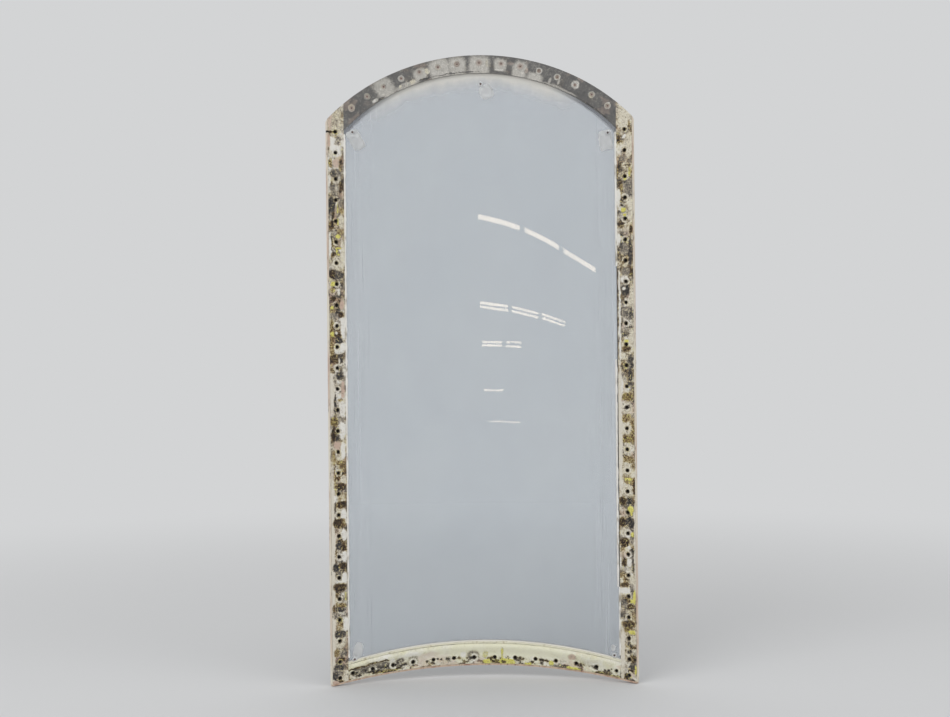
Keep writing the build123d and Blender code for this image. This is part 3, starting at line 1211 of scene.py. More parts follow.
@dataclass
class TopSkin(BentSkin):
    """Crust on the arched top rail."""

    end_margin: float = 9.77
    first_step: float = 27.5
    steps: int = 7
    ring_radius: float = 4.1
    ring_level: float = 0.77

    @property
    def row_radius(self) -> float:
        """Radius of the arc that the holes lie on."""
        return self.shape.outer_top.radius - self.shape.edge_distance

    def turns(self) -> list[float]:
        """Angle of each hole round the arch's centre, in radians."""
        end = self.shape.bend_radius * math.sin(self.shape.cross_angle) - self.end_margin
        last, first = math.asin(end / self.row_radius), self.first_step / self.row_radius
        step = (last - first) / (self.steps - 1)
        right = [first + step * number for number in range(self.steps)]
        return [-turn for turn in reversed(right)] + [0.0] + right

    def holes(self) -> list[Triple]:
        """Centre of each hole in the front view."""
        radius, centre = self.row_radius, self.shape.outer_top.centre
        turns = self.turns()
        return self.holes_at([(radius * math.sin(t), centre + radius * math.cos(t)) for t in turns])

    def cell_point(self, cell: int, first: np.ndarray, second: np.ndarray) -> np.ndarray:
        """Chart place inside one hole's share of the arch."""
        width = self.shape.top_rail_width - 2 * self.margin
        radius = self.shape.opening_top.radius + self.margin + second * width
        end = np.arcsin((self.end_across - self.margin) / radius)
        start, stop = self.between(cell, self.turns(), -end, end)
        turn = start + (stop - start) * first
        rise = self.shape.outer_top.centre + radius * np.cos(turn)
        return np.stack([radius * np.sin(turn), rise], axis=-1)

    def measure(self, chart: np.ndarray) -> tuple[np.ndarray, np.ndarray]:
        """Distance in from the arched edge, and distance along the row of holes."""
        arch = self.shape.outer_top
        rise = chart[..., 1] - arch.centre
        along = np.arctan2(chart[..., 0], rise) * self.row_radius
        return arch.radius - np.hypot(chart[..., 0], rise), along

    def masks(
        self, across: np.ndarray, along: np.ndarray, reach: np.ndarray, hole: np.ndarray
    ) -> dict[Mask, np.ndarray]:
        """Add what a washer left round every hole: a beige ring, pinkish at some holes."""
        values = super().masks(across, along, reach, hole)
        lot = RandomField(self.seed + 83)
        radius = self.ring_radius * (0.9 + 0.25 * lot.value(hole * 2.3, hole, 1.0))
        radius = radius + self.field_at(10, across, along, 2.5)
        ring = ramp(radius - reach, -0.7, 0.5) * 0.92
        goal = self.ring_level + 0.14 * (lot.value(hole * 4.1, hole, 1.0) - 0.5)
        values[Mask.LEVEL] += (goal - values[Mask.LEVEL]) * ring
        pink = 0.75 * ramp(lot.value(hole * 6.7, hole, 1.0), 0.25, 0.7)
        values[Mask.PINK] = np.maximum(values[Mask.PINK], pink * ring)
        return values


@dataclass
class BottomSkin(BentSkin):
    """Sealant on the arched bottom rail, with the fairing's roll along its upper edge."""

    end_margin: float = 5.61
    holes_each_way: int = 7
    roll_height: float = 2.4
    roll_width: float = 13.5
    mess_height: float = 12.5

    def holes(self) -> list[Triple]:
        """Centre of each hole in the front view."""
        last = self.shape.cross_angle - self.end_margin / self.shape.bend_radius
        steps = np.arange(-self.holes_each_way, self.holes_each_way)
        across = np.sin(last * (steps + 0.5) / (self.holes_each_way - 0.5))
        across = self.shape.bend_radius * across
        arc = self.shape.outer_bottom.grown(self.shape.bottom_edge_distance)
        return self.holes_at(list(zip(across.tolist(), arc.height(across).tolist())))

    def cell_point(self, cell: int, first: np.ndarray, second: np.ndarray) -> np.ndarray:
        """Chart place inside one hole's share of the rail."""
        end = self.end_across - self.margin
        start, stop = self.between(cell, [hole[0] for hole in self.holes()], -end, end)
        across = start + (stop - start) * first
        low = self.shape.rail_bottom.height(across) + self.margin
        high = self.shape.opening_bottom.height(across) - self.margin
        return np.stack([across, low + (high - low) * second], axis=-1)

    def measure(self, chart: np.ndarray) -> tuple[np.ndarray, np.ndarray]:
        """Height above the arched edge, and distance to the right of the middle."""
        return chart[..., 1] - self.shape.outer_bottom.height(chart[..., 0]), chart[..., 0]

    def masks(
        self, across: np.ndarray, along: np.ndarray, reach: np.ndarray, hole: np.ndarray
    ) -> dict[Mask, np.ndarray]:
        """Add the mess along the row of holes: dark smears and white crumbs."""
        values = super().masks(across, along, reach, hole)
        zone = ramp(self.mess_height + 5 * self.field_at(10, across, along, 7.0) - across, 0.0, 3.0)
        smear = self.field_at(11, across, along * 0.7, 4.2)
        change = 0.85 * ramp(smear, 0.2, 0.4) - 1.1 * ramp(-smear, 0.0, 0.2)
        values[Mask.LEVEL] = np.clip(values[Mask.LEVEL] + 0.6 * zone * change, 0.0, 1.0)
        halo = np.exp(-(((reach - 4.0) / 1.1) ** 2)) * ramp(smear, -0.15, 0.05)
        values[Mask.LEVEL] += (0.95 - values[Mask.LEVEL]) * halo * 0.9
        values[Mask.SMOOTH] = values[Mask.SMOOTH] * (1 - 0.75 * zone)
        return values

    def extra_height(self, across: np.ndarray, along: np.ndarray) -> np.ndarray:
        """The roll: highest a little below the rail's upper edge, and fading to the holes."""
        top = self.shape.opening_bottom.height(along) - self.shape.outer_bottom.height(along)
        below = top - across
        wave = RandomField(self.seed + 5).layered(along, along * 0.0, 30.0, 3) - 0.5
        crown = self.roll_height * (1 + 0.35 * wave)
        ends = ramp(self.end_across - np.abs(along), -2.0, 14.0)
        fade = ramp(self.roll_width + 5 * wave - below, 0.0, 10.0)
        return crown * ends * ramp(below, -0.4, 3.0) * fade


# Pieces that repeat or follow a path


@dataclass
class NodeRow:
    """A Geometry Nodes tree that turns a plain guide mesh into finished pieces."""

    name: str
    inputs: dict[str, Any]
    grow: Callable[[Adder, dict[str, Any]], Any]
    KINDS: ClassVar[dict[type, str]] = {
        float: "NodeSocketFloat",
        int: "NodeSocketInt",
        tuple: "NodeSocketVector",
        bpy.types.Material: "NodeSocketMaterial",
    }

    def tree(self) -> bpy.types.NodeTree:
        """Build the tree with its named inputs."""
        tree = bpy.data.node_groups.new(self.name, "GeometryNodeTree")
        sockets = [("Geometry", "INPUT", "NodeSocketGeometry")]
        sockets += [(name, "INPUT", self.KINDS[type(item)]) for name, item in self.inputs.items()]
        for name, way, kind in sockets + [("Geometry", "OUTPUT", "NodeSocketGeometry")]:
            tree.interface.new_socket(name, in_out=way, socket_type=kind)
        add = partial(add_node, tree)
        given = {socket.name: socket for socket in add("NodeGroupInput", None, None).outputs}
        grown = add("GeometryNodeRealizeInstances", {"Geometry": self.grow(add, given)})
        dressed = add("GeometryNodeSetMaterial", {"Geometry": grown, "Material": given["Finish"]})
        add("NodeGroupOutput", {"Geometry": dressed}, None)
        return tree

    def build(self, guide: bpy.types.Mesh, slot: str) -> bpy.types.Object:
        """Run the tree on a guide mesh and keep the result as one plain piece.

        Args:
            guide: Points or edges that the tree starts from, in metres.
            slot: The record's material slot; not used.

        Returns:
            The finished piece, riding on the panel's body.
        """
        carrier = add_object(f"{self.name}_guide", guide)
        modifier = carrier.modifiers.new(self.name, "NODES")
        modifier.node_group = self.tree()
        for item in modifier.node_group.interface.items_tree:
            if item.in_out == "INPUT" and item.name in self.inputs:
                modifier[item.identifier] = self.inputs[item.name]
        bpy.context.view_layer.update()
        evaluated = carrier.evaluated_get(bpy.context.evaluated_depsgraph_get())
        mesh = bpy.data.meshes.new_from_object(evaluated)
        carrier.modifiers.remove(modifier)
        bpy.data.objects.remove(carrier)
        mesh.name = self.name
        return add_piece(self.name, mesh, slot)


@dataclass
class InnerBead:
    """A thin bead along a rail, laid on the cabin face of the pane in one or more strands."""

    shape: PanelShape
    name: str
    finish: Finish
    lines: list[np.ndarray] = field(default_factory=list)
    slot: str = "white_bead"
    radius: float = 1.5
    wander: float = 0.5
    seed: float = 3.0
    arc_steps: int = 96
    steps: int = 360
    sides: int = 12
    waves_per_metre: float = 90.0

    @property
    def lay_radius(self) -> float:
        """Distance of the bead's middle line from the bend axis."""
        return self.shape.bend_radius - self.radius * 0.75

    def upright(self, side: int, low: float, high: float, inboard: float) -> "InnerBead":
        """Add a strand beside a side rail.

        Args:
            side: -1 for the left rail, 1 for the right one.
            low: Height of its lower end.
            high: Height of its upper end.
            inboard: Its distance in from the outer edge.

        Returns:
            The bead itself.
        """
        angle = side * (self.shape.edge_angle - inboard / self.shape.bend_radius)
        self.lines.append(self.shape.wrap(angle, np.array([low, high]), self.lay_radius))
        return self

    def arched(self, arc: Arc, half_angle: float) -> "InnerBead":
        """Add a strand that follows an arc of the front view."""
        angles = np.linspace(-half_angle, half_angle, self.arc_steps + 1)
        across = self.lay_radius * np.sin(angles)
        self.lines.append(self.shape.wrap(angles, arc.height(across), self.lay_radius))
        return self

    def grow(self, add: Adder, given: dict[str, Any]) -> Any:
        """Lay a round bead of changing thickness along the guide."""
        curve = add("GeometryNodeMeshToCurve", {"Mesh": given["Geometry"]})
        even = add("GeometryNodeResampleCurve", {"Curve": curve, "Count": self.steps})
        place = add("GeometryNodeInputPosition")
        place = add(VECTOR_MATH, {0: place, 1: given["Seed Offset"]}, operation="ADD")
        noise = {"Vector": place, "Scale": self.waves_per_metre, "Detail": 3.0}
        noise = add("ShaderNodeTexNoise", noise, None).outputs
        # The line wanders across and up, but stays on the pane
        aside = add(VECTOR_MATH, {0: noise["Color"], 1: (0.5, 0.5, 0.5)}, operation="SUBTRACT")
        aside = add(VECTOR_MATH, {0: aside, 1: (1.0, 0.0, 1.0)}, operation="MULTIPLY")
        aside = add(VECTOR_MATH, {0: aside, "Scale": given["Wander"]}, operation="SCALE")
        return add(
            "GeometryNodeCurveToMesh",
            {
                "Curve": add("GeometryNodeSetPosition", {"Geometry": even, "Offset": aside}),
                "Profile Curve": add(
                    "GeometryNodeCurvePrimitiveCircle",
                    {"Resolution": self.sides, "Radius": given["Bead Radius"]},
                ),
                "Scale": add(RANGE, {0: noise["Fac"], 1: 0.3, 2: 0.7, 3: 0.6, 4: 1.15}),
                "Fill Caps": True,
            },
        )

    def build(self) -> bpy.types.Object:
        """Build the bead."""
        guide = bpy.data.meshes.new(self.name)
        starts = np.cumsum([0] + [len(line) for line in self.lines])
        edges = [
            (int(start) + step, int(start) + step + 1)
            for start, line in zip(starts, self.lines)
            for step in range(len(line) - 1)
        ]
        guide.from_pydata((np.concatenate(self.lines) * MM).tolist(), edges, [])
        inputs = {
            "Bead Radius": self.radius * MM,
            "Wander": self.wander * MM * 2,
            "Seed Offset": (self.seed, 0.0, 0.0),
            "Finish": self.finish.material,
        }
        return NodeRow(self.name, inputs, self.grow).build(guide, self.slot)


@dataclass
class HoleDressing:
    """What sits at every screw hole: a plug, near black as painted shade for the hole's inside except in
    the top rail, and a raised lip round its mouth.
    """

    shape: PanelShape
    skins: Sequence[DrilledSkin]
    plug_depth: float = 2.6
    plug_thickness: float = 1.4
    plug_play: float = 0.06
    top_plug_depth: float = 1.0
    pit_radius: float = 0.8
    pit_rise: float = 0.15
    lip_radius: float = 2.4
    lip_thickness: float = 0.17
    lip_height: float = 0.38
    lip_share: float = 0.6
    plug_sides: int = 20
    lip_steps: int = 28
    lip_sides: int = 8
    seed: int = 17

    def guide(self, name: str, height: float | None, top_height: float) -> bpy.types.Mesh:
        """Points at the holes that each know which way is outward.

        Args:
            name: Name of the guide mesh.
            height: Height on the side rails and the bottom rail; None leaves these rails out.
            top_height: Height on the top rail.

        Returns:
            A mesh of loose points with the attribute outward.
        """
        points, directions = [], []
        for skin in self.skins:
            lift = top_height if isinstance(skin, TopSkin) else height
            if lift is None:
                continue
            chart = np.array([hole[:2] for hole in skin.holes()])
            points.append(skin.place(chart, np.full(len(chart), lift)))
            directions.append(skin.place(chart, np.full(len(chart), lift + 1.0)) - points[-1])
        guide = bpy.data.meshes.new(name)
        guide.from_pydata((np.concatenate(points) * MM).tolist(), [], [])
        layer = guide.attributes.new("outward", "FLOAT_VECTOR", "POINT")
        layer.data.foreach_set("vector", np.concatenate(directions).astype(np.float32).ravel())
        return guide

    @staticmethod
    def stand(add: Adder, given: dict[str, Any], shape: Any, **more: Any) -> Any:
        """Stand a shape on the guide's points, along their outward directions."""
        outward = {"Name": "outward"}
        outward = add("GeometryNodeInputNamedAttribute", outward, data_type="FLOAT_VECTOR")
        turned = add("FunctionNodeAlignRotationToVector", {"Vector": outward}, axis="Z")
        inputs = {"Points": given["Geometry"], "Instance": shape, "Rotation": turned}
        return add("GeometryNodeInstanceOnPoints", inputs | more)

    def grow_plugs(self, add: Adder, given: dict[str, Any]) -> Any:
        """Short closed cylinders, all alike."""
        sizes = {"Vertices": self.plug_sides, "Radius": given["Radius"], "Depth": given["Thickness"]}
        return self.stand(add, given, add("GeometryNodeMeshCylinder", sizes))

    def grow_lips(self, add: Adder, given: dict[str, Any]) -> Any:
        """Thin rings at some holes, whose size differs a little from hole to hole."""
        path, wire = (
            add("GeometryNodeCurvePrimitiveCircle", {"Resolution": steps, "Radius": given[size]})
            for steps, size in ((self.lip_steps, "Radius"), (self.lip_sides, "Thickness"))
        )
        lip = add("GeometryNodeCurveToMesh", {"Curve": path, "Profile Curve": wire})
        size = add("FunctionNodeRandomValue", {2: 0.9, 3: 1.3, "Seed": given["Seed"]}, 1)
        size = add("ShaderNodeCombineXYZ", {"X": size, "Y": size, "Z": 1.0})
        lot = {"Seed": given["Seed"], "Probability": given["Share"]}
        lot = add("FunctionNodeRandomValue", lot, 3, data_type="BOOLEAN")
        return self.stand(add, given, lip, Scale=size, Selection=lot)

    def build(self) -> None:
        """Build the plugs, the dark pits of painted shade in the top rail's plugs, and the lips."""
        plug = {"Thickness": self.plug_thickness * MM}
        lip = {"Thickness": self.lip_thickness * MM, "Seed": self.seed, "Share": self.lip_share}
        deep, shallow, rise = -self.plug_depth, -self.top_plug_depth, self.lip_height
        hole, rail = self.shape.hole_radius - self.plug_play, "edge_laminate"
        # Painted shade: the near black plugs and the pits stand for the dark inside the holes.
        grime, pit_shade = HoleShadeAndResidue("hole_shade_and_residue"), HoleShadeAndResidue("hole_pit_painted_shade", "#54433b")
        film = SealantBead("lip_film", "#b3a583", "#54483a", 0.42)
        pits = (None, self.pit_rise + shallow)
        for name, heights, radius, sizes, finish, grow, slot in (
            ("hole_plugs_shade_and_residue", (deep, shallow), hole, plug, grime, self.grow_plugs, rail),
            ("hole_shade_pits", pits, self.pit_radius, plug, pit_shade, self.grow_plugs, rail),
            ("hole_lips", (rise, rise / 2), self.lip_radius, lip, film, self.grow_lips, "edge_sealant"),
        ):
            inputs = {"Radius": radius * MM, "Finish": finish.material} | sizes
            NodeRow(name, inputs, grow).build(self.guide(name, *heights), slot)


# Clip pads


@dataclass(frozen=True)
class ClipPad:
    """A patch of old adhesive on the pane, with the mark of the clip's screw beside it."""

    name: str
    across: float
    height: float
    width: float
    length: float
    is_round: bool
    turn: float
    mark_across: float
    mark_height: float
    thickness: float = 0.3
    steps: int = 48
    mark_steps: int = 24

    # Radius and lift above the pane at each step of the two marks' outlines
    RING: ClassVar[Levels] = ((1.2, 0.35), (3.1, 0.35), (2.8, 0.6), (1.5, 0.6), (1.2, 0.35))
    DOT: ClassVar[Levels] = ((0.0, 0.35), (1.15, 0.35), (1.0, 0.62), (0.0, 0.62))

    def outline(self, share: float) -> np.ndarray:
        """Points of the pad's uneven outline, shrunk to a share of its size."""
        wobble = RandomField(int(abs(self.across) * 10))
        angles = np.linspace(0, 2 * math.pi, self.steps, endpoint=False)
        power = 2.6 if self.is_round else 6.0
        side = np.abs(np.cos(angles) / (self.width / 2)) ** power
        rise = np.abs(np.sin(angles) / (self.length / 2)) ** power
        ray = (side + rise) ** (-1 / power) * share
        ray = ray * (0.94 + 0.12 * wobble.value(angles * 2, angles * 0, 0.7))
        turned = angles + math.radians(self.turn)
        side, rise = ray * np.cos(turned), ray * np.sin(turned)
        return np.stack([self.across + side, self.height + rise], axis=-1)

    def mark(self, radius: float) -> np.ndarray:
        """Points of a circle round the screw mark; all in one place when the radius is 0."""
        angles = np.linspace(0, 2 * math.pi, self.mark_steps, endpoint=False)
        side, rise = radius * np.cos(angles), radius * np.sin(angles)
        return np.stack([self.mark_across + side, self.mark_height + rise], axis=-1)

    def build(self, shape: PanelShape, residue: Finish, grime: Finish) -> None:
        """Build the pad, a pale ring beside it and the dark dot in the ring.

        Args:
            shape: The panel's sizes.
            residue: Finish of the pad and the ring.
            grime: Finish of the dot.
        """
        top, foot = self.thickness, 0.05
        pad = ((0.0, foot), (0.6, foot), (1.0, foot), (0.97, top), (0.6, top), (0.0, top))
        for part, outline, levels, finish in (
            ("residue", self.outline, pad, residue),
            ("ring", self.mark, self.RING, residue),
            ("dot", self.mark, self.DOT, grime),
        ):
            charts = np.stack([outline(size) for size, _ in levels])
            radii = shape.bend_radius - np.array([[lift] for _, lift in levels])
            angles = np.arcsin(charts[..., 0] / shape.bend_radius)
            points = shape.wrap(angles, charts[..., 1], radii).reshape(-1, 3)
            faces = bands(np.arange(len(points)).reshape(charts.shape[:2]))
            name = f"{self.name}_{part}"
            piece = make_piece(name, points, faces, finish, "pad_adhesive", 50.0)
            if part == "residue":
                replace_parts(piece, self.name)


# Studio


@dataclass
class Studio:
    """Floor, soft lights, lamp tubes that the pane mirrors, and the camera of the photograph."""

    shape: PanelShape
    pale: str = "#d3d4d5"
    lens: float = 50.0
    sensor: float = 36.0
    picture: tuple[int, int] = (950, 717)
    distance: float = 1592.0
    eye_height: float = 394.6
    eye_across: float = -8.3
    roll: float = -0.53
    world_light: float = 0.72
    key_power: float = 26.0
    fill_power: float = 9.0
    tube_light: float = 10.5
    tube_distance: float = 1100.0
    tube_steps: int = 8
    floor_reach: float = 30.0

    # Streaks in the photograph's pixels: column and row of both ends, and the width
    STREAKS: ClassVar[Sequence[tuple[float, ...]]] = (
        (478, 216.5, 500, 221.5, 5.2), (500, 221.5, 519.5, 228, 5.0), (524.5, 230, 542, 238, 5.0),
        (542, 238, 558.5, 247.5, 5.0), (563, 250.5, 595, 270, 4.6), (480, 302.5, 508, 306.5, 2.6),
        (480, 306.5, 508, 310.5, 2.6), (512, 307, 538, 313.5, 2.4), (512, 311, 538, 317.5, 2.4),
        (542, 314, 565, 322, 2.2), (542, 318, 565, 326, 2.2), (482, 342, 502, 342, 2.0),
        (482, 345.5, 502, 345.5, 2.2), (506, 342, 521, 342.5, 1.9), (506, 346, 521, 347, 1.9),
        (484, 390, 503, 390.5, 1.6), (487, 421, 521, 422.5, 0.9),
    )

    @property
    def eye(self) -> Vector:
        """The camera's place, in millimetres."""
        shape = self.shape
        edge = shape.bend_axis + shape.structural_face * math.cos(shape.edge_angle)
        edge -= shape.rail_thickness * math.cos(shape.tilt)
        return Vector((self.eye_across, edge - self.distance, self.eye_height))

    @property
    def turned(self) -> Matrix:
        """The camera's directions: level, along Y, and a little rolled."""
        roll = Matrix.Rotation(math.radians(self.roll), 4, "Z")
        return Matrix.Rotation(math.radians(90), 4, "X") @ roll

    def camera(self) -> None:
        """Set up the camera."""
        data = bpy.data.cameras.new("camera")
        data.lens = self.lens
        data.sensor_width = self.sensor
        data.clip_end = 2 * self.floor_reach
        camera = add_object("camera", data)
        camera.matrix_world = Matrix.Translation(self.eye * MM) @ self.turned
        bpy.context.scene.camera = camera

    def mirrored(self, column: float, row: float) -> Vector:
        """Place of a lamp whose reflection in the pane's cabin face falls on a pixel."""
        shape, eye = self.shape, self.eye
        pixel = self.lens / self.sensor * self.picture[0]
        side, rise = column - self.picture[0] / 2, self.picture[1] / 2 - row
        sight = (self.turned @ Vector((side, rise, -pixel))).normalized()
        start = eye - Vector((0, shape.bend_axis, 0))
        flat = sight.x**2 + sight.y**2
        half = start.x * sight.x + start.y * sight.y
        free = start.x**2 + start.y**2 - shape.bend_radius**2
        reach = (-half + math.sqrt(half**2 - flat * free)) / flat
        hit = eye + sight * reach
        normal = Vector((-hit.x, shape.bend_axis - hit.y, 0)).normalized()
        away = sight - normal * 2 * sight.dot(normal)
        return hit + away * self.tube_distance

    def tubes(self) -> None:
        """Thin lamp tubes behind the camera, which only gloss and glass can see."""
        points, faces = [], []
        for column, row, last_column, last_row, width in self.STREAKS:
            for step in range(self.tube_steps + 1):
                share = step / self.tube_steps
                across = column + (last_column - column) * share
                down = row + (last_row - row) * share
                if step:
                    count = len(points)
                    faces.append((count - 2, count - 1, count + 1, count))
                for offset in (-width / 2, width / 2):
                    points.append(self.mirrored(across, down + offset)[:])
        mesh = bpy.data.meshes.new("lamp_tubes")
        mesh.from_pydata((np.array(points) * MM).tolist(), [], faces)
        material = bpy.data.materials.new("lamp_glow")
        material.use_nodes = True
        material.node_tree.nodes.clear()
        add = partial(add_node, material.node_tree)
        # Only the first face of the glazing mirrors the tubes, so each streak stays single
        path = add("ShaderNodeLightPath", output="Transmission Depth")
        strength = add(RANGE, {0: path, 2: 0.5, 3: self.tube_light, 4: 0.0})
        glow = add("ShaderNodeEmission", {"Color": "#ffeed6", "Strength": strength})
        add("ShaderNodeOutputMaterial", {"Surface": glow}, None)
        mesh.materials.append(material)
        lamp = add_object("lamp_tubes", mesh)
        for way in ("camera", "diffuse", "transmission", "shadow"):
            setattr(lamp, f"visible_{way}", False)
        lamp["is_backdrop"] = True

    @staticmethod
    def seen(add: Adder) -> Any:
        """1 where the camera sees the backdrop, directly or through glass or gloss, else 0."""
        path = add("ShaderNodeLightPath", None, None).outputs
        seen = path["Is Camera Ray"]
        for ray in ("Is Transmission Ray", "Is Glossy Ray"):
            seen = add(MATH, {0: seen, 1: path[ray]}, operation="MAXIMUM")
        return seen

    def floor(self) -> None:
        """A pale floor that keeps the panel's shadow near it and fades into the backdrop."""
        mesh = bpy.data.meshes.new("floor")
        half = self.floor_reach
        corners = [(-half, -half, 0), (half, -half, 0), (half, half, 0), (-half, half, 0)]
        mesh.from_pydata(corners, [], [(0, 1, 2, 3)])
        material = bpy.data.materials.new("studio_floor")
        material.use_nodes = True
        nodes = material.node_tree.nodes
        add = partial(add_node, material.node_tree)
        shader = nodes["Principled BSDF"]
        fill(shader, {"Base Color": self.pale, "Roughness": 0.85, "Specular IOR Level": 0.2})
        glow = add("ShaderNodeEmission", {"Color": self.pale, "Strength": 1.0})
        place = add("ShaderNodeTexCoord", output="Object")
        reach = add(VECTOR_MATH, {0: place}, "Value", operation="LENGTH")
        far = add(RANGE, {0: reach, 1: 0.55, 2: 2.0}, interpolation_type="SMOOTHSTEP")
        share = add(MATH, {0: far, 1: self.seen(add)}, operation="MULTIPLY")
        mix = add("ShaderNodeMixShader", {0: share, 1: shader.outputs[0], 2: glow})
        fill(nodes["Material Output"], {"Surface": mix})
        mesh.materials.append(material)
        add_object("floor", mesh)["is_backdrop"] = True

    def lights(self) -> None:
        """An even pale world, one large soft light and a weaker one from the other side."""
        world = bpy.data.worlds.new("studio")
        bpy.context.scene.world = world
        world.use_nodes = True
        world.node_tree.nodes.clear()
        add = partial(add_node, world.node_tree)
        plain, shown = (
            add("ShaderNodeBackground", {"Color": colour, "Strength": strength})
            for colour, strength in (("#ffffff", self.world_light), (self.pale, 1.0))
        )
        mix = add("ShaderNodeMixShader", {0: self.seen(add), 1: plain, 2: shown})
        add("ShaderNodeOutputWorld", {"Surface": mix}, None)
        for name, place, size, power in (
            ("key", (-1.5, -1.9, 2.3), 1.8, self.key_power),
            ("fill", (1.9, -1.3, 1.2), 1.4, self.fill_power),
        ):
            data = bpy.data.lights.new(name, "AREA")
            data.energy = power
            data.size = size
            lamp = add_object(name, data)
            lamp.location = place
            aim = Vector((0, 0, 0.4)) - lamp.location
            lamp.rotation_euler = aim.to_track_quat("-Z", "Y").to_euler()
            lamp.visible_glossy = False
            lamp.visible_transmission = False

    def build(self) -> None:
        """Build the whole studio."""
        for part in (self.floor, self.lights, self.tubes, self.camera):
            part()
        bpy.context.scene.view_settings.view_transform = "Standard"


# The panel

SLATE, BROWN, TAUPE, OCHRE, OLIVE, CREAM, BUTTER, WHITE, YELLOW, PINK, BAND, VEIL = Tint


def marks(*rows: Sequence[Any]) -> tuple[Mark, ...]:
    """Marks from rows of tint, place across and along, both half sizes, strength, squareness."""
    return tuple(Mark(*row) for row in rows)


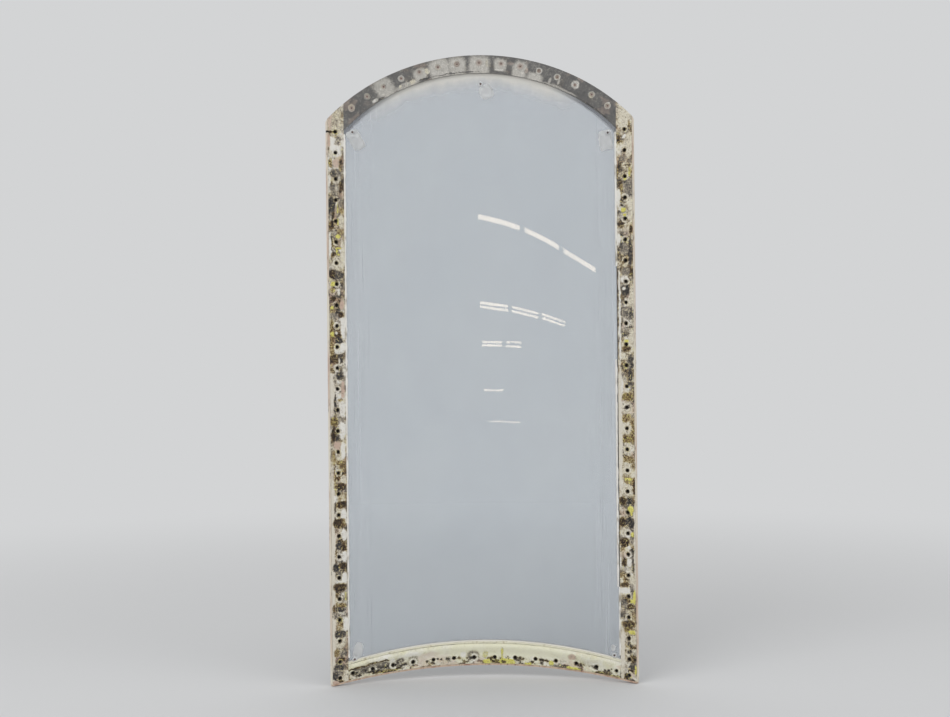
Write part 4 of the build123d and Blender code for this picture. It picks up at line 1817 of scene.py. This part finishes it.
LEFT_MARKS = marks(
    (CREAM, 9, 682, 10, 14, 0.8), (TAUPE, 9.3, 681, 3, 4, 0.5), (PINK, 2.5, 684, 3, 12, 0.7),
    (WHITE, 3.5, 658, 4.5, 7, 0.9), (PINK, 0.8, 660, 1.8, 8), (TAUPE, 13.5, 660, 3.2, 5, 0.7),
    (WHITE, 9, 648, 6.5, 6.5, 0.9), (CREAM, 3.5, 641, 3, 6), (OLIVE, 2.6, 632, 2.4, 5, 0.85),
    (PINK, 9.5, 632, 3.4, 5, 0.8), (BROWN, 15.6, 630, 2.2, 8, 0.6), (SLATE, 7, 620.5, 4.4, 4.4, 0.8),
    (TAUPE, 13, 621, 3, 5, 0.6), (WHITE, 0.8, 607, 2.6, 9, 0.8), (BROWN, 15.8, 603, 2, 7, 0.75),
    (TAUPE, 8, 600, 5, 7, 0.6), (SLATE, 4, 582.5, 4.2, 8), (YELLOW, 11, 578, 0.9, 7, 0.7),
    (TAUPE, 15, 584, 3.2, 6, 0.6), (OCHRE, 16, 575, 3.4, 3, 0.9), (BROWN, 5.5, 569, 1.7, 5, 0.9),
    (YELLOW, 12.2, 561, 1.5, 4, 0.7), (BROWN, 4.5, 557, 2.2, 5, 0.8), (CREAM, 16, 562, 3.2, 8),
    (OCHRE, 15, 549, 4.5, 3.4, 0.8), (WHITE, 0.8, 532, 2.6, 14, 0.9), (SLATE, 4, 536, 0.9, 10, 0.7),
    (YELLOW, 11.5, 543.5, 2.8, 2.6), (OLIVE, 5.8, 535, 2, 3.4, 0.9), (YELLOW, 12, 529.5, 3.4, 1.1, 0.9),
    (YELLOW, 9.6, 525.5, 1.1, 3.4, 0.9), (YELLOW, 12, 521.5, 2.2, 1.1, 0.8),
    (WHITE, 14.4, 526.5, 1.3, 1.4), (CREAM, 17.4, 522, 2.2, 18), (BROWN, 5, 521.5, 3, 3, 0.8),
    (CREAM, 10.5, 511.6, 7.4, 7.6, 0.95, 2), (SLATE, 9, 497, 8.8, 5, 0.85), (BROWN, 4, 498, 3, 5, 0.8),
    (YELLOW, 4, 486, 2.8, 2.8, 0.75), (OCHRE, 4, 479.5, 3.2, 3.4), (SLATE, 12, 473.5, 4, 4, 0.7),
    (WHITE, 12.5, 476.5, 1.4, 4.2, 0.8), (BROWN, 5, 468.8, 3.4, 3), (YELLOW, 3.6, 457, 2.2, 2.6, 0.7),
    (OCHRE, 4, 453, 3, 2.4, 0.9), (PINK, 16, 461, 2.6, 6), (TAUPE, 5, 447, 4.2, 4),
    (BROWN, 14.5, 449, 3.8, 3.4, 0.95), (OCHRE, 2.7, 428, 2.4, 15), (YELLOW, 2.8, 426, 1.7, 3, 0.9),
    (WHITE, 8.6, 427, 1.8, 1.5), (WHITE, 17, 433, 2.6, 12), (SLATE, 12, 417.8, 4.2, 3.2),
    (OCHRE, 3, 406, 2.6, 8, 0.9), (WHITE, 16.5, 409, 3, 5.5), (BROWN, 9, 395.5, 8, 5.4, 0.8),
    (SLATE, 14, 396, 3.4, 5, 0.8), (WHITE, 12, 393, 1.1, 3.6, 0.7), (BROWN, 3, 381.5, 3, 3.6, 0.85),
    (SLATE, 13, 374.5, 4.2, 5), (BAND, 2, 354, 3.4, 24), (PINK, 16.2, 358, 2.6, 11, 0.9),
    (SLATE, 6.2, 339, 1.3, 12), (OCHRE, 13, 345.5, 3.6, 1.2, 0.9), (WHITE, 15.5, 334, 3.4, 9, 0.8),
    (OLIVE, 4.5, 319.5, 5, 5.4), (TAUPE, 13.8, 322, 3.4, 3.2, 0.9), (BROWN, 3.8, 305, 2.8, 8),
    (WHITE, 15, 309, 4, 10, 0.9), (SLATE, 9, 298.5, 2.2, 3.4), (PINK, 8.5, 290.5, 4.6, 5),
    (WHITE, 16, 284, 3, 10, 0.9), (OCHRE, 3.2, 275, 2.8, 8.2), (OCHRE, 12.3, 269.5, 5, 3.6),
    (BAND, 1.4, 150, 3.2, 118), (OCHRE, 5.2, 250, 1, 17, 0.9), (BROWN, 9, 251, 3, 2.6, 0.9),
    (CREAM, 15.5, 249.5, 3.8, 5), (BROWN, 13, 241, 6.4, 3.8), (BROWN, 13, 219, 6.4, 3.8),
    (SLATE, 5.2, 212, 0.9, 10, 0.9), (WHITE, 16, 207.5, 3.4, 6), (BROWN, 9.6, 196.5, 6.6, 5.4),
    (OCHRE, 15.8, 197, 2.6, 4.2, 0.9), (WHITE, 16, 182.5, 3.4, 6.4), (SLATE, 9, 170, 3.4, 5.4),
    (BROWN, 15.5, 167.5, 3.4, 4.4), (BROWN, 6, 156, 0.8, 10, 0.9), (WHITE, 16.2, 155.5, 3.2, 6.4),
    (SLATE, 5.8, 143, 3.6, 4.8), (BROWN, 13.3, 145, 4.6, 3.4), (WHITE, 16.5, 131, 3.2, 6),
    (BROWN, 10.4, 119.6, 7.4, 4.8), (YELLOW, 17.4, 109, 1.4, 6, 0.5), (OCHRE, 12, 97.2, 5.6, 2.4),
    (SLATE, 10.5, 92.3, 5.2, 2.6), (BROWN, 2.4, 93, 1.6, 5, 0.9), (TAUPE, 4, 85.5, 5, 4, 0.8),
    (WHITE, 17, 75, 3.2, 8.5), (SLATE, 9.6, 63, 7, 3.8), (CREAM, 9.5, 52, 8, 6, 0.9),
    (BAND, 1.2, 50, 2.6, 34), (OCHRE, 5.6, 40, 3.2, 4.4, 0.95), (TAUPE, 13.5, 40, 5, 4, 0.8),
    (BROWN, 11.8, 32, 4.4, 2.2), (SLATE, 8, 22, 6, 3.6, 0.9), (TAUPE, 5, 15.5, 6.5, 4, 0.8),
    (SLATE, 5.4, 8, 2.6, 1.8), (PINK, 3, 4, 5, 2.4), (SLATE, 3, 13, 4, 4.4, 0.9),
    # The thin brown mark at 670.4 mm, from the edge in to the top hole, is painted shade: the dark line
    # of the split in the rail.
    (BROWN, 11, 5, 3.4, 2.4, 0.9), (CREAM, 17.2, 10, 3.6, 9, 0.95), (BROWN, 4, 670.4, 6, 1.1, 1, 6),
)

RIGHT_MARKS = marks(
    (CREAM, 9.5, 685, 10, 13), (OLIVE, 3.2, 676.5, 1.4, 4.4, 0.7), (TAUPE, 6.5, 667.5, 3.4, 3.4, 0.7),
    (TAUPE, 10.5, 660.5, 4, 4, 0.8), (WHITE, 10.2, 662.5, 2.2, 2.2, 0.9), (CREAM, 4, 650, 4.6, 14),
    (TAUPE, 11.5, 635, 4.6, 3.8, 0.75), (BROWN, 6.5, 626.5, 4.6, 0.8, 0.8), (OCHRE, 19, 617, 1, 7, 0.8),
    (YELLOW, 3, 619, 1.6, 6, 0.55), (YELLOW, 8.6, 610, 2.2, 1.6), (BROWN, 15.6, 603, 2.6, 5, 0.75),
    (OCHRE, 13.4, 600.5, 2, 4, 0.9), (TAUPE, 4.6, 601, 5, 9), (WHITE, 18, 589.5, 2.6, 9),
    (CREAM, 2.2, 572, 3, 16), (BROWN, 14, 578.5, 1.4, 1.2), (YELLOW, 11.6, 572.6, 2.8, 2.6),
    (YELLOW, 9.6, 566.6, 2.2, 1.6), (BROWN, 14, 556, 3.6, 4.6, 0.75), (BROWN, 2.6, 549, 2.2, 4.4),
    (WHITE, 18, 537, 2.6, 7), (SLATE, 3.6, 522, 2.2, 16), (TAUPE, 9.5, 523.5, 3.4, 6.4, 0.9),
    (TAUPE, 9, 498, 5, 4.2, 0.95), (BROWN, 2.6, 498, 1.8, 5, 0.9), (WHITE, 11, 489, 4.4, 4.4, 0.9),
    (SLATE, 9.6, 475.5, 5.4, 6, 0.95), (WHITE, 12, 477.5, 1.7, 1.9, 0.9), (CREAM, 2.4, 468, 3.2, 13),
    (TAUPE, 8, 448, 7, 7.4), (SLATE, 3.4, 449, 1.4, 6, 0.8), (SLATE, 10.8, 422.3, 3.6, 2.6, 0.9),
    (CREAM, 2.8, 414, 3.6, 14), (YELLOW, 8.6, 414.2, 3, 1.5), (BROWN, 9, 405, 5, 3.4, 0.85),
    (CREAM, 14.5, 396, 4.6, 4.6), (SLATE, 4.4, 388, 3.6, 9, 0.9), (WHITE, 17.4, 445, 1.1, 56),
    (SLATE, 4.8, 373, 2.6, 7), (WHITE, 17, 359, 3.4, 8), (OLIVE, 8.6, 346.6, 6.2, 4.6),
    (CREAM, 9.5, 333.8, 6.4, 6.4, 0.9, 2), (SLATE, 9.5, 333.8, 3.6, 3.6, 0.6, 2),
    (OCHRE, 11, 321, 6, 4.6), (TAUPE, 2, 324, 2.6, 3.6, 0.8), (OCHRE, 2.6, 304, 3, 15),
    (CREAM, 9.8, 308.4, 6.4, 7, 0.9, 2), (OLIVE, 10.5, 295.6, 7, 4),
    (CREAM, 9.5, 283.6, 5.4, 6.4, 0.95, 2), (OCHRE, 8, 271.2, 6.8, 3.6),
    (CREAM, 9.5, 258.4, 5.4, 6.4, 0.95, 2), (OCHRE, 7, 245.5, 6.4, 3.6), (YELLOW, 8, 247, 4.4, 1.6, 0.7),
    (CREAM, 9.5, 232.6, 6.8, 7.4, 1, 2), (BROWN, 1.2, 237, 1.6, 10, 0.8), (BAND, 18, 306, 2.6, 82),
    (BROWN, 15.4, 220.5, 4.2, 4.6), (SLATE, 7.6, 221, 3.4, 4.6), (YELLOW, 5.8, 210.6, 3.4, 4),
    (YELLOW, 4.8, 204.6, 1.7, 2.8, 0.9), (BROWN, 16, 195, 3.8, 5.4), (SLATE, 6.8, 194, 5.2, 5.4),
    (CREAM, 14.6, 182.5, 4.6, 5.4), (YELLOW, 4.2, 179.6, 2, 3, 0.95), (SLATE, 1, 179, 1, 8, 0.9),
    (BROWN, 13.8, 170, 5.4, 5.2), (WHITE, 7.4, 164, 2.2, 2.6), (SLATE, 5, 157.5, 3, 4.8),
    (BROWN, 14, 146, 3.6, 4.4), (WHITE, 7.6, 146, 3.2, 4.4, 0.9), (SLATE, 2.9, 142, 1.5, 9, 0.9),
    (BAND, 0.4, 160, 1.6, 60), (CREAM, 3, 125, 4.4, 5.4), (BROWN, 14.4, 118.6, 5, 3, 0.9),
    (WHITE, 14, 112, 6.4, 4, 0.9), (YELLOW, 2.2, 104.5, 1.6, 8), (YELLOW, 5.4, 99, 3, 2.4, 0.9),
    (BROWN, 10.6, 101, 3.4, 4.4, 0.7), (TAUPE, 14.4, 96, 3.6, 5, 0.85), (BROWN, 6.6, 92.8, 3.8, 3),
    (SLATE, 1, 89.5, 1.8, 3), (BROWN, 10, 70.6, 8.4, 4.4, 0.85), (OLIVE, 12.6, 64.4, 4.2, 2.6),
    (YELLOW, 5, 61.4, 4.2, 2.8), (CREAM, 3.2, 52.6, 4.2, 6), (SLATE, 8.6, 47.6, 2.6, 2.6, 0.9),
    (BROWN, 4.2, 42.8, 4.4, 1.4), (SLATE, 8.4, 38, 3, 2.6), (BROWN, 4.4, 29.6, 4, 4.6, 0.9),
    (SLATE, 5, 20.6, 4.4, 3.4, 0.95), (BROWN, 7.4, 15.2, 3.6, 2), (YELLOW, 0.7, 16.5, 1.2, 5, 0.95),
    (SLATE, 8, 3.6, 5.4, 2), (BAND, 17, 40, 2.8, 26), (BROWN, 13.5, 7.5, 3.6, 4.4, 0.9),
    (CREAM, 18.4, 14, 2.4, 8, 0.9),
)

TOP_MARKS = marks(
    (VEIL, 12.5, -123, 12, 11.5, 0.9, 3.4), (VEIL, 20, -96, 3.4, 16, 0.8),
    (CREAM, 18.5, -104, 1.7, 2.6, 0.9), (CREAM, 18.5, -87.5, 2.2, 3.6, 1), (VEIL, 13, -75, 7, 8, 1, 3),
    (CREAM, 11.5, -65.5, 3.4, 3.2, 1), (VEIL, 13.5, -50, 13.5, 12.5, 1, 3.4),
    (VEIL, 12.5, -27, 11, 9.4, 1, 4), (VEIL, 15, 0, 13.4, 12.4, 1, 3.4), (CREAM, 10, 10, 4.4, 1.8, 0.7),
    (VEIL, 11, 26.5, 7, 7.2, 1, 4), (WHITE, 17.4, 25, 0.8, 5.4, 0.7), (VEIL, 15.5, 51.5, 12, 8.6, 1, 3),
    (PINK, 13, 60, 3.6, 1.8, 0.7), (VEIL, 19.5, 73, 6, 10, 1, 3), (VEIL, 16.5, 92, 3.4, 1.5, 0.8),
    (VEIL, 15, 103, 3.6, 1.3, 0.8), (VEIL, 21, 108, 1.4, 24, 0.7), (WHITE, 9, 123.4, 4.4, 4.4, 0.95, 2),
    # The four slate marks 19.6 to 21.6 mm in from the arched edge are painted shadow: a thin dark line
    # along the rail's lower edge, where the gap above the pane lies in shade.
    (WHITE, 7.4, 170.5, 2, 2, 1), (WHITE, 19, -141.5, 1.8, 3.6, 1), (SLATE, 20.6, -134, 0.8, 5, 0.9),
    (SLATE, 19.6, -72, 0.9, 6.4, 1), (SLATE, 20, -32, 0.5, 30, 0.75), (SLATE, 21.6, 162, 0.7, 20, 0.8),
)

BOTTOM_MARKS = marks(
    (BUTTER, 20, 30, 9, 80, 0.85), (TAUPE, 10.4, -132, 5.4, 30, 0.95, 4),
    (OLIVE, 4.4, -118, 1.8, 16, 0.8), (BROWN, 14.4, -160, 0.9, 6), (BROWN, 15.8, -149, 0.9, 8),
    (BROWN, 16.8, -134, 0.9, 9), (BROWN, 17.4, -118.5, 0.9, 8), (WHITE, 16, -114, 3, 3.4, 0.9),
    (SLATE, 9.3, -117.4, 1.8, 1.8), (SLATE, 12, -109, 1.4, 3.6, 0.9), (TAUPE, 14.6, -103, 3, 3.8),
    (TAUPE, 11.6, -88, 5.4, 6.4, 0.75), (WHITE, 20, -90, 3, 8, 0.7), (SLATE, 8.2, -71, 1.3, 1.5),
    (SLATE, 10, -58.4, 1.3, 1.6), (SLATE, 9.8, -53.4, 1, 1.2), (TAUPE, 9.2, -44.6, 3.4, 3.8, 0.95),
    (WHITE, 13.4, -26.4, 3.6, 3.4), (TAUPE, 12.4, -14, 5.8, 7.6, 0.9), (YELLOW, 14.6, 1, 4, 3.4, 0.5),
    (YELLOW, 4.6, 3, 3.4, 5, 0.9), (OLIVE, 6.4, 12, 3.8, 4.6), (YELLOW, 14, 22, 8, 1.6, 0.6),
    (YELLOW, 4.6, 28, 3.6, 10), (BROWN, 4.2, 24, 1.4, 3, 0.8), (YELLOW, 2.8, 54, 2, 4.4),
    (BROWN, 8.6, 73, 1.1, 7.6), (TAUPE, 3.8, 92, 2.8, 10, 0.9), (YELLOW, 6.4, 82, 2.6, 2.8, 0.9),
    (PINK, 17, 108, 3.4, 5, 0.9), (YELLOW, 3.2, 109, 1.8, 8), (SLATE, 8, 146.6, 0.9, 0.9),
    (SLATE, 8.8, 150.6, 1.4, 1.4), (SLATE, 11, 154.4, 0.9, 0.9), (OLIVE, 3, 150, 1.8, 16, 0.9),
    (OCHRE, 1.2, 0, 0.8, 170, 0.75), (BROWN, 0.8, -20, 0.5, 160, 0.6), (SLATE, 7, 166, 5, 1.6, 0.8),
)

PADS = (
    ClipPad("clip_pad_top_left", -150.9, 662.2, 15.5, 25.0, False, 30.0, -155.2, 671.5),
    ClipPad("clip_pad_top_centre", 8.6, 725.0, 17.0, 18.0, True, 20.0, 1.6, 734.8),
    ClipPad("clip_pad_top_right", 153.2, 659.0, 16.0, 25.0, False, 6.0, 155.8, 668.0),
    ClipPad("clip_pad_bottom_left", -153.8, 40.5, 11.0, 20.0, True, -12.0, -158.0, 30.0),
    ClipPad("clip_pad_bottom_right", 156.8, 41.0, 5.5, 7.5, True, 0.0, 158.0, 32.0),
)


@dataclass
class WindshieldPanel:
    """The whole panel: clear layers, rails with their crust, beads, pads and hole dressing."""

    shape: PanelShape
    nodes: dict[str, bpy.types.Object]

    GREY_BAND: ClassVar[dict[str, Shades]] = {
        "plain": (
            (0.02, "#3f3e3d"), (0.3, "#5c5b5a"), (0.45, "#696866"),
            (0.6, "#94918b"), (0.74, "#b1aea7"), (0.92, "#d3d0ca"),
        ),
        "stained": (
            (0.02, "#332d29"), (0.3, "#5a554f"), (0.45, "#6e6860"),
            (0.6, "#a3998a"), (0.74, "#d2c9ab"), (0.92, "#e4dfc9"),
        ),
    }
    CREAM_ROLL: ClassVar[dict[str, Shades]] = {
        "plain": (
            (0.02, "#2d2a27"), (0.22, "#544f48"), (0.42, "#857e72"),
            (0.6, "#bcb6a3"), (0.76, "#dcd9c6"), (0.92, "#edebe2"),
        ),
        "stained": (
            (0.02, "#38291d"), (0.22, "#665434"), (0.42, "#958455"),
            (0.6, "#c3bb92"), (0.76, "#dedab8"), (0.92, "#e9e7cc"),
        ),
    }

    def skins(self) -> list[DrilledSkin]:
        """The crust of each rail, with its own look."""
        band_film = CrustedSealant("band_film", **self.GREY_BAND, pink="#a8978c", depth=0.2)
        name = "glossy_cream_sealant"
        cream = CrustedSealant(name, **self.CREAM_ROLL, yellow="#c6bd2e", roughness=0.24)
        return [
            SideSkin(self.shape, "left_rail_crust", 101, LEFT_MARKS, side=-1),
            SideSkin(self.shape, "right_rail_crust", 211, RIGHT_MARKS, side=1),
            TopSkin(
                self.shape, "top_rail_film", 307, TOP_MARKS, band_film,
                level=0.4, level_spread=0.25, warmth=0.08, smooth=0.84, disc_level=0.68,
                disc_radius=3.6, disc_share=0.9, collar=0.0, warp=2.0, crust_height=0.25,
            ),
            BottomSkin(
                self.shape, "bottom_rail_sealant", 401, BOTTOM_MARKS, cream,
                level=0.84, level_spread=0.3, warmth=0.42, smooth=0.7, disc_level=0.92,
                disc_radius=4.6, collar=0.1,
            ),
        ]

    def dress_nodes(self) -> None:
        """Give every CAD node that stays its own finish; the first ending that fits decides."""
        finishes = {
            "edge_rail": RailLaminate("edge_laminate"),
            "bottom_edge_seal": LayeredEdge("layered_bottom_edge", "#cbb5a0", "#a5806e"),
            "edge_seal": LayeredEdge("layered_edge"),
            "top_weather_bead": SealantBead("pale_weather_sealant", "#909295", "#77756f", 0.5),
            "bottom_weather_bead": SealantBead("cream_weather_sealant", "#cfccb9", "#a8a18b", 0.5),
            "weather_bead": SealantBead("weather_sealant", "#3c3b39", "#6a6355", 0.55, 0.2),
        }
        for name, node in self.nodes.items():
            fitting = [finish for ending, finish in finishes.items() if name.endswith(ending)]
            if fitting:
                node.data.materials.clear()
                node.data.materials.append(fitting[0].material)
                LOG.info("%s dressed in %s", name, fitting[0].name)

    def beads(self) -> None:
        """Lay the beads along the side rails and the bottom rail, and the right groove's stain."""
        shape = self.shape
        white = SealantBead("white_bead_sealant", "#ebe9e3", "#a39a88", 0.56)
        cream = SealantBead("cream_edge_sealant", "#dedbc6", "#b3a98c", 0.56)
        grime = SealantBead("groove_grime", "#4a3b2c", "#7d6d55", 0.55, 0.3)
        left = InnerBead(shape, "left_bead_strand", white).upright(-1, 33.0, 668.0, 21.0)
        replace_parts(left.build(), "left_inner_bead")
        right = InnerBead(shape, "right_bead_strands", white, seed=8.0)
        right.upright(1, 33.0, 116.0, 20.6).upright(1, 116.0, 392.0, 22.4)
        right.upright(1, 505.0, 668.0, 21.0)
        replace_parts(right.build(), "right_inner_bead")
        slot = "edge_sealant"
        groove = InnerBead(shape, "right_groove_grime", grime, slot=slot, radius=0.7, seed=5.0)
        groove.upright(1, 118.0, 506.0, 20.2).build()
        edge = InnerBead(shape, "bottom_edge_bead", cream, slot="fairing_sealant", wander=0.25)
        edge.arched(shape.opening_bottom.grown(1.1), shape.rail_angle).build()

    def split_shade_fill(self, skin: SideSkin) -> None:
        """Fill the split in the left rail with a near black block below the crust: painted shade for the
        dark inside the split.
        """
        place = skin.heights()[-1]
        inner = self.shape.edge_distance - self.shape.hole_radius
        chart = [(across, place + rise) for across in (-0.9, inner) for rise in (-1.1, 1.1)]
        points = [skin.place(np.array(chart), np.full(4, depth)) for depth in (-1.2, -4.8)]
        faces = [(0, 1, 3, 2), (4, 5, 7, 6), (0, 1, 5, 4), (2, 3, 7, 6), (0, 2, 6, 4), (1, 3, 7, 5)]
        grime = HoleShadeAndResidue("split_painted_shade")
        make_piece("split_shade_fill", np.concatenate(points), faces, grime, "edge_laminate")

    def build(self) -> None:
        """Build every piece of the panel."""
        self.dress_nodes()
        Glazing(self.shape).build()
        skins = self.skins()
        pieces = [skin.build() for skin in skins]
        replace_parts(pieces[-1], "bottom_fairing")
        self.split_shade_fill(skins[0])
        HoleDressing(self.shape, skins).build()
        self.beads()
        residue = PadResidue("pad_residue")
        grime = SealantBead("mark_grime", "#5c3f38", "#3a2b27", 0.5)
        for pad in PADS:
            pad.build(self.shape, residue, grime)


def main() -> None:
    """Build the panel and its studio."""
    logging.basicConfig(level=logging.INFO, format="%(message)s")
    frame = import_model()
    cad_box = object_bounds()
    shape = PanelShape()
    WindshieldPanel(shape, frame["nodes"]).build()
    Studio(shape).build()
    [[list(corner) for corner in box] for box in (cad_box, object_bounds())]


if __name__ == "__main__":
    main()
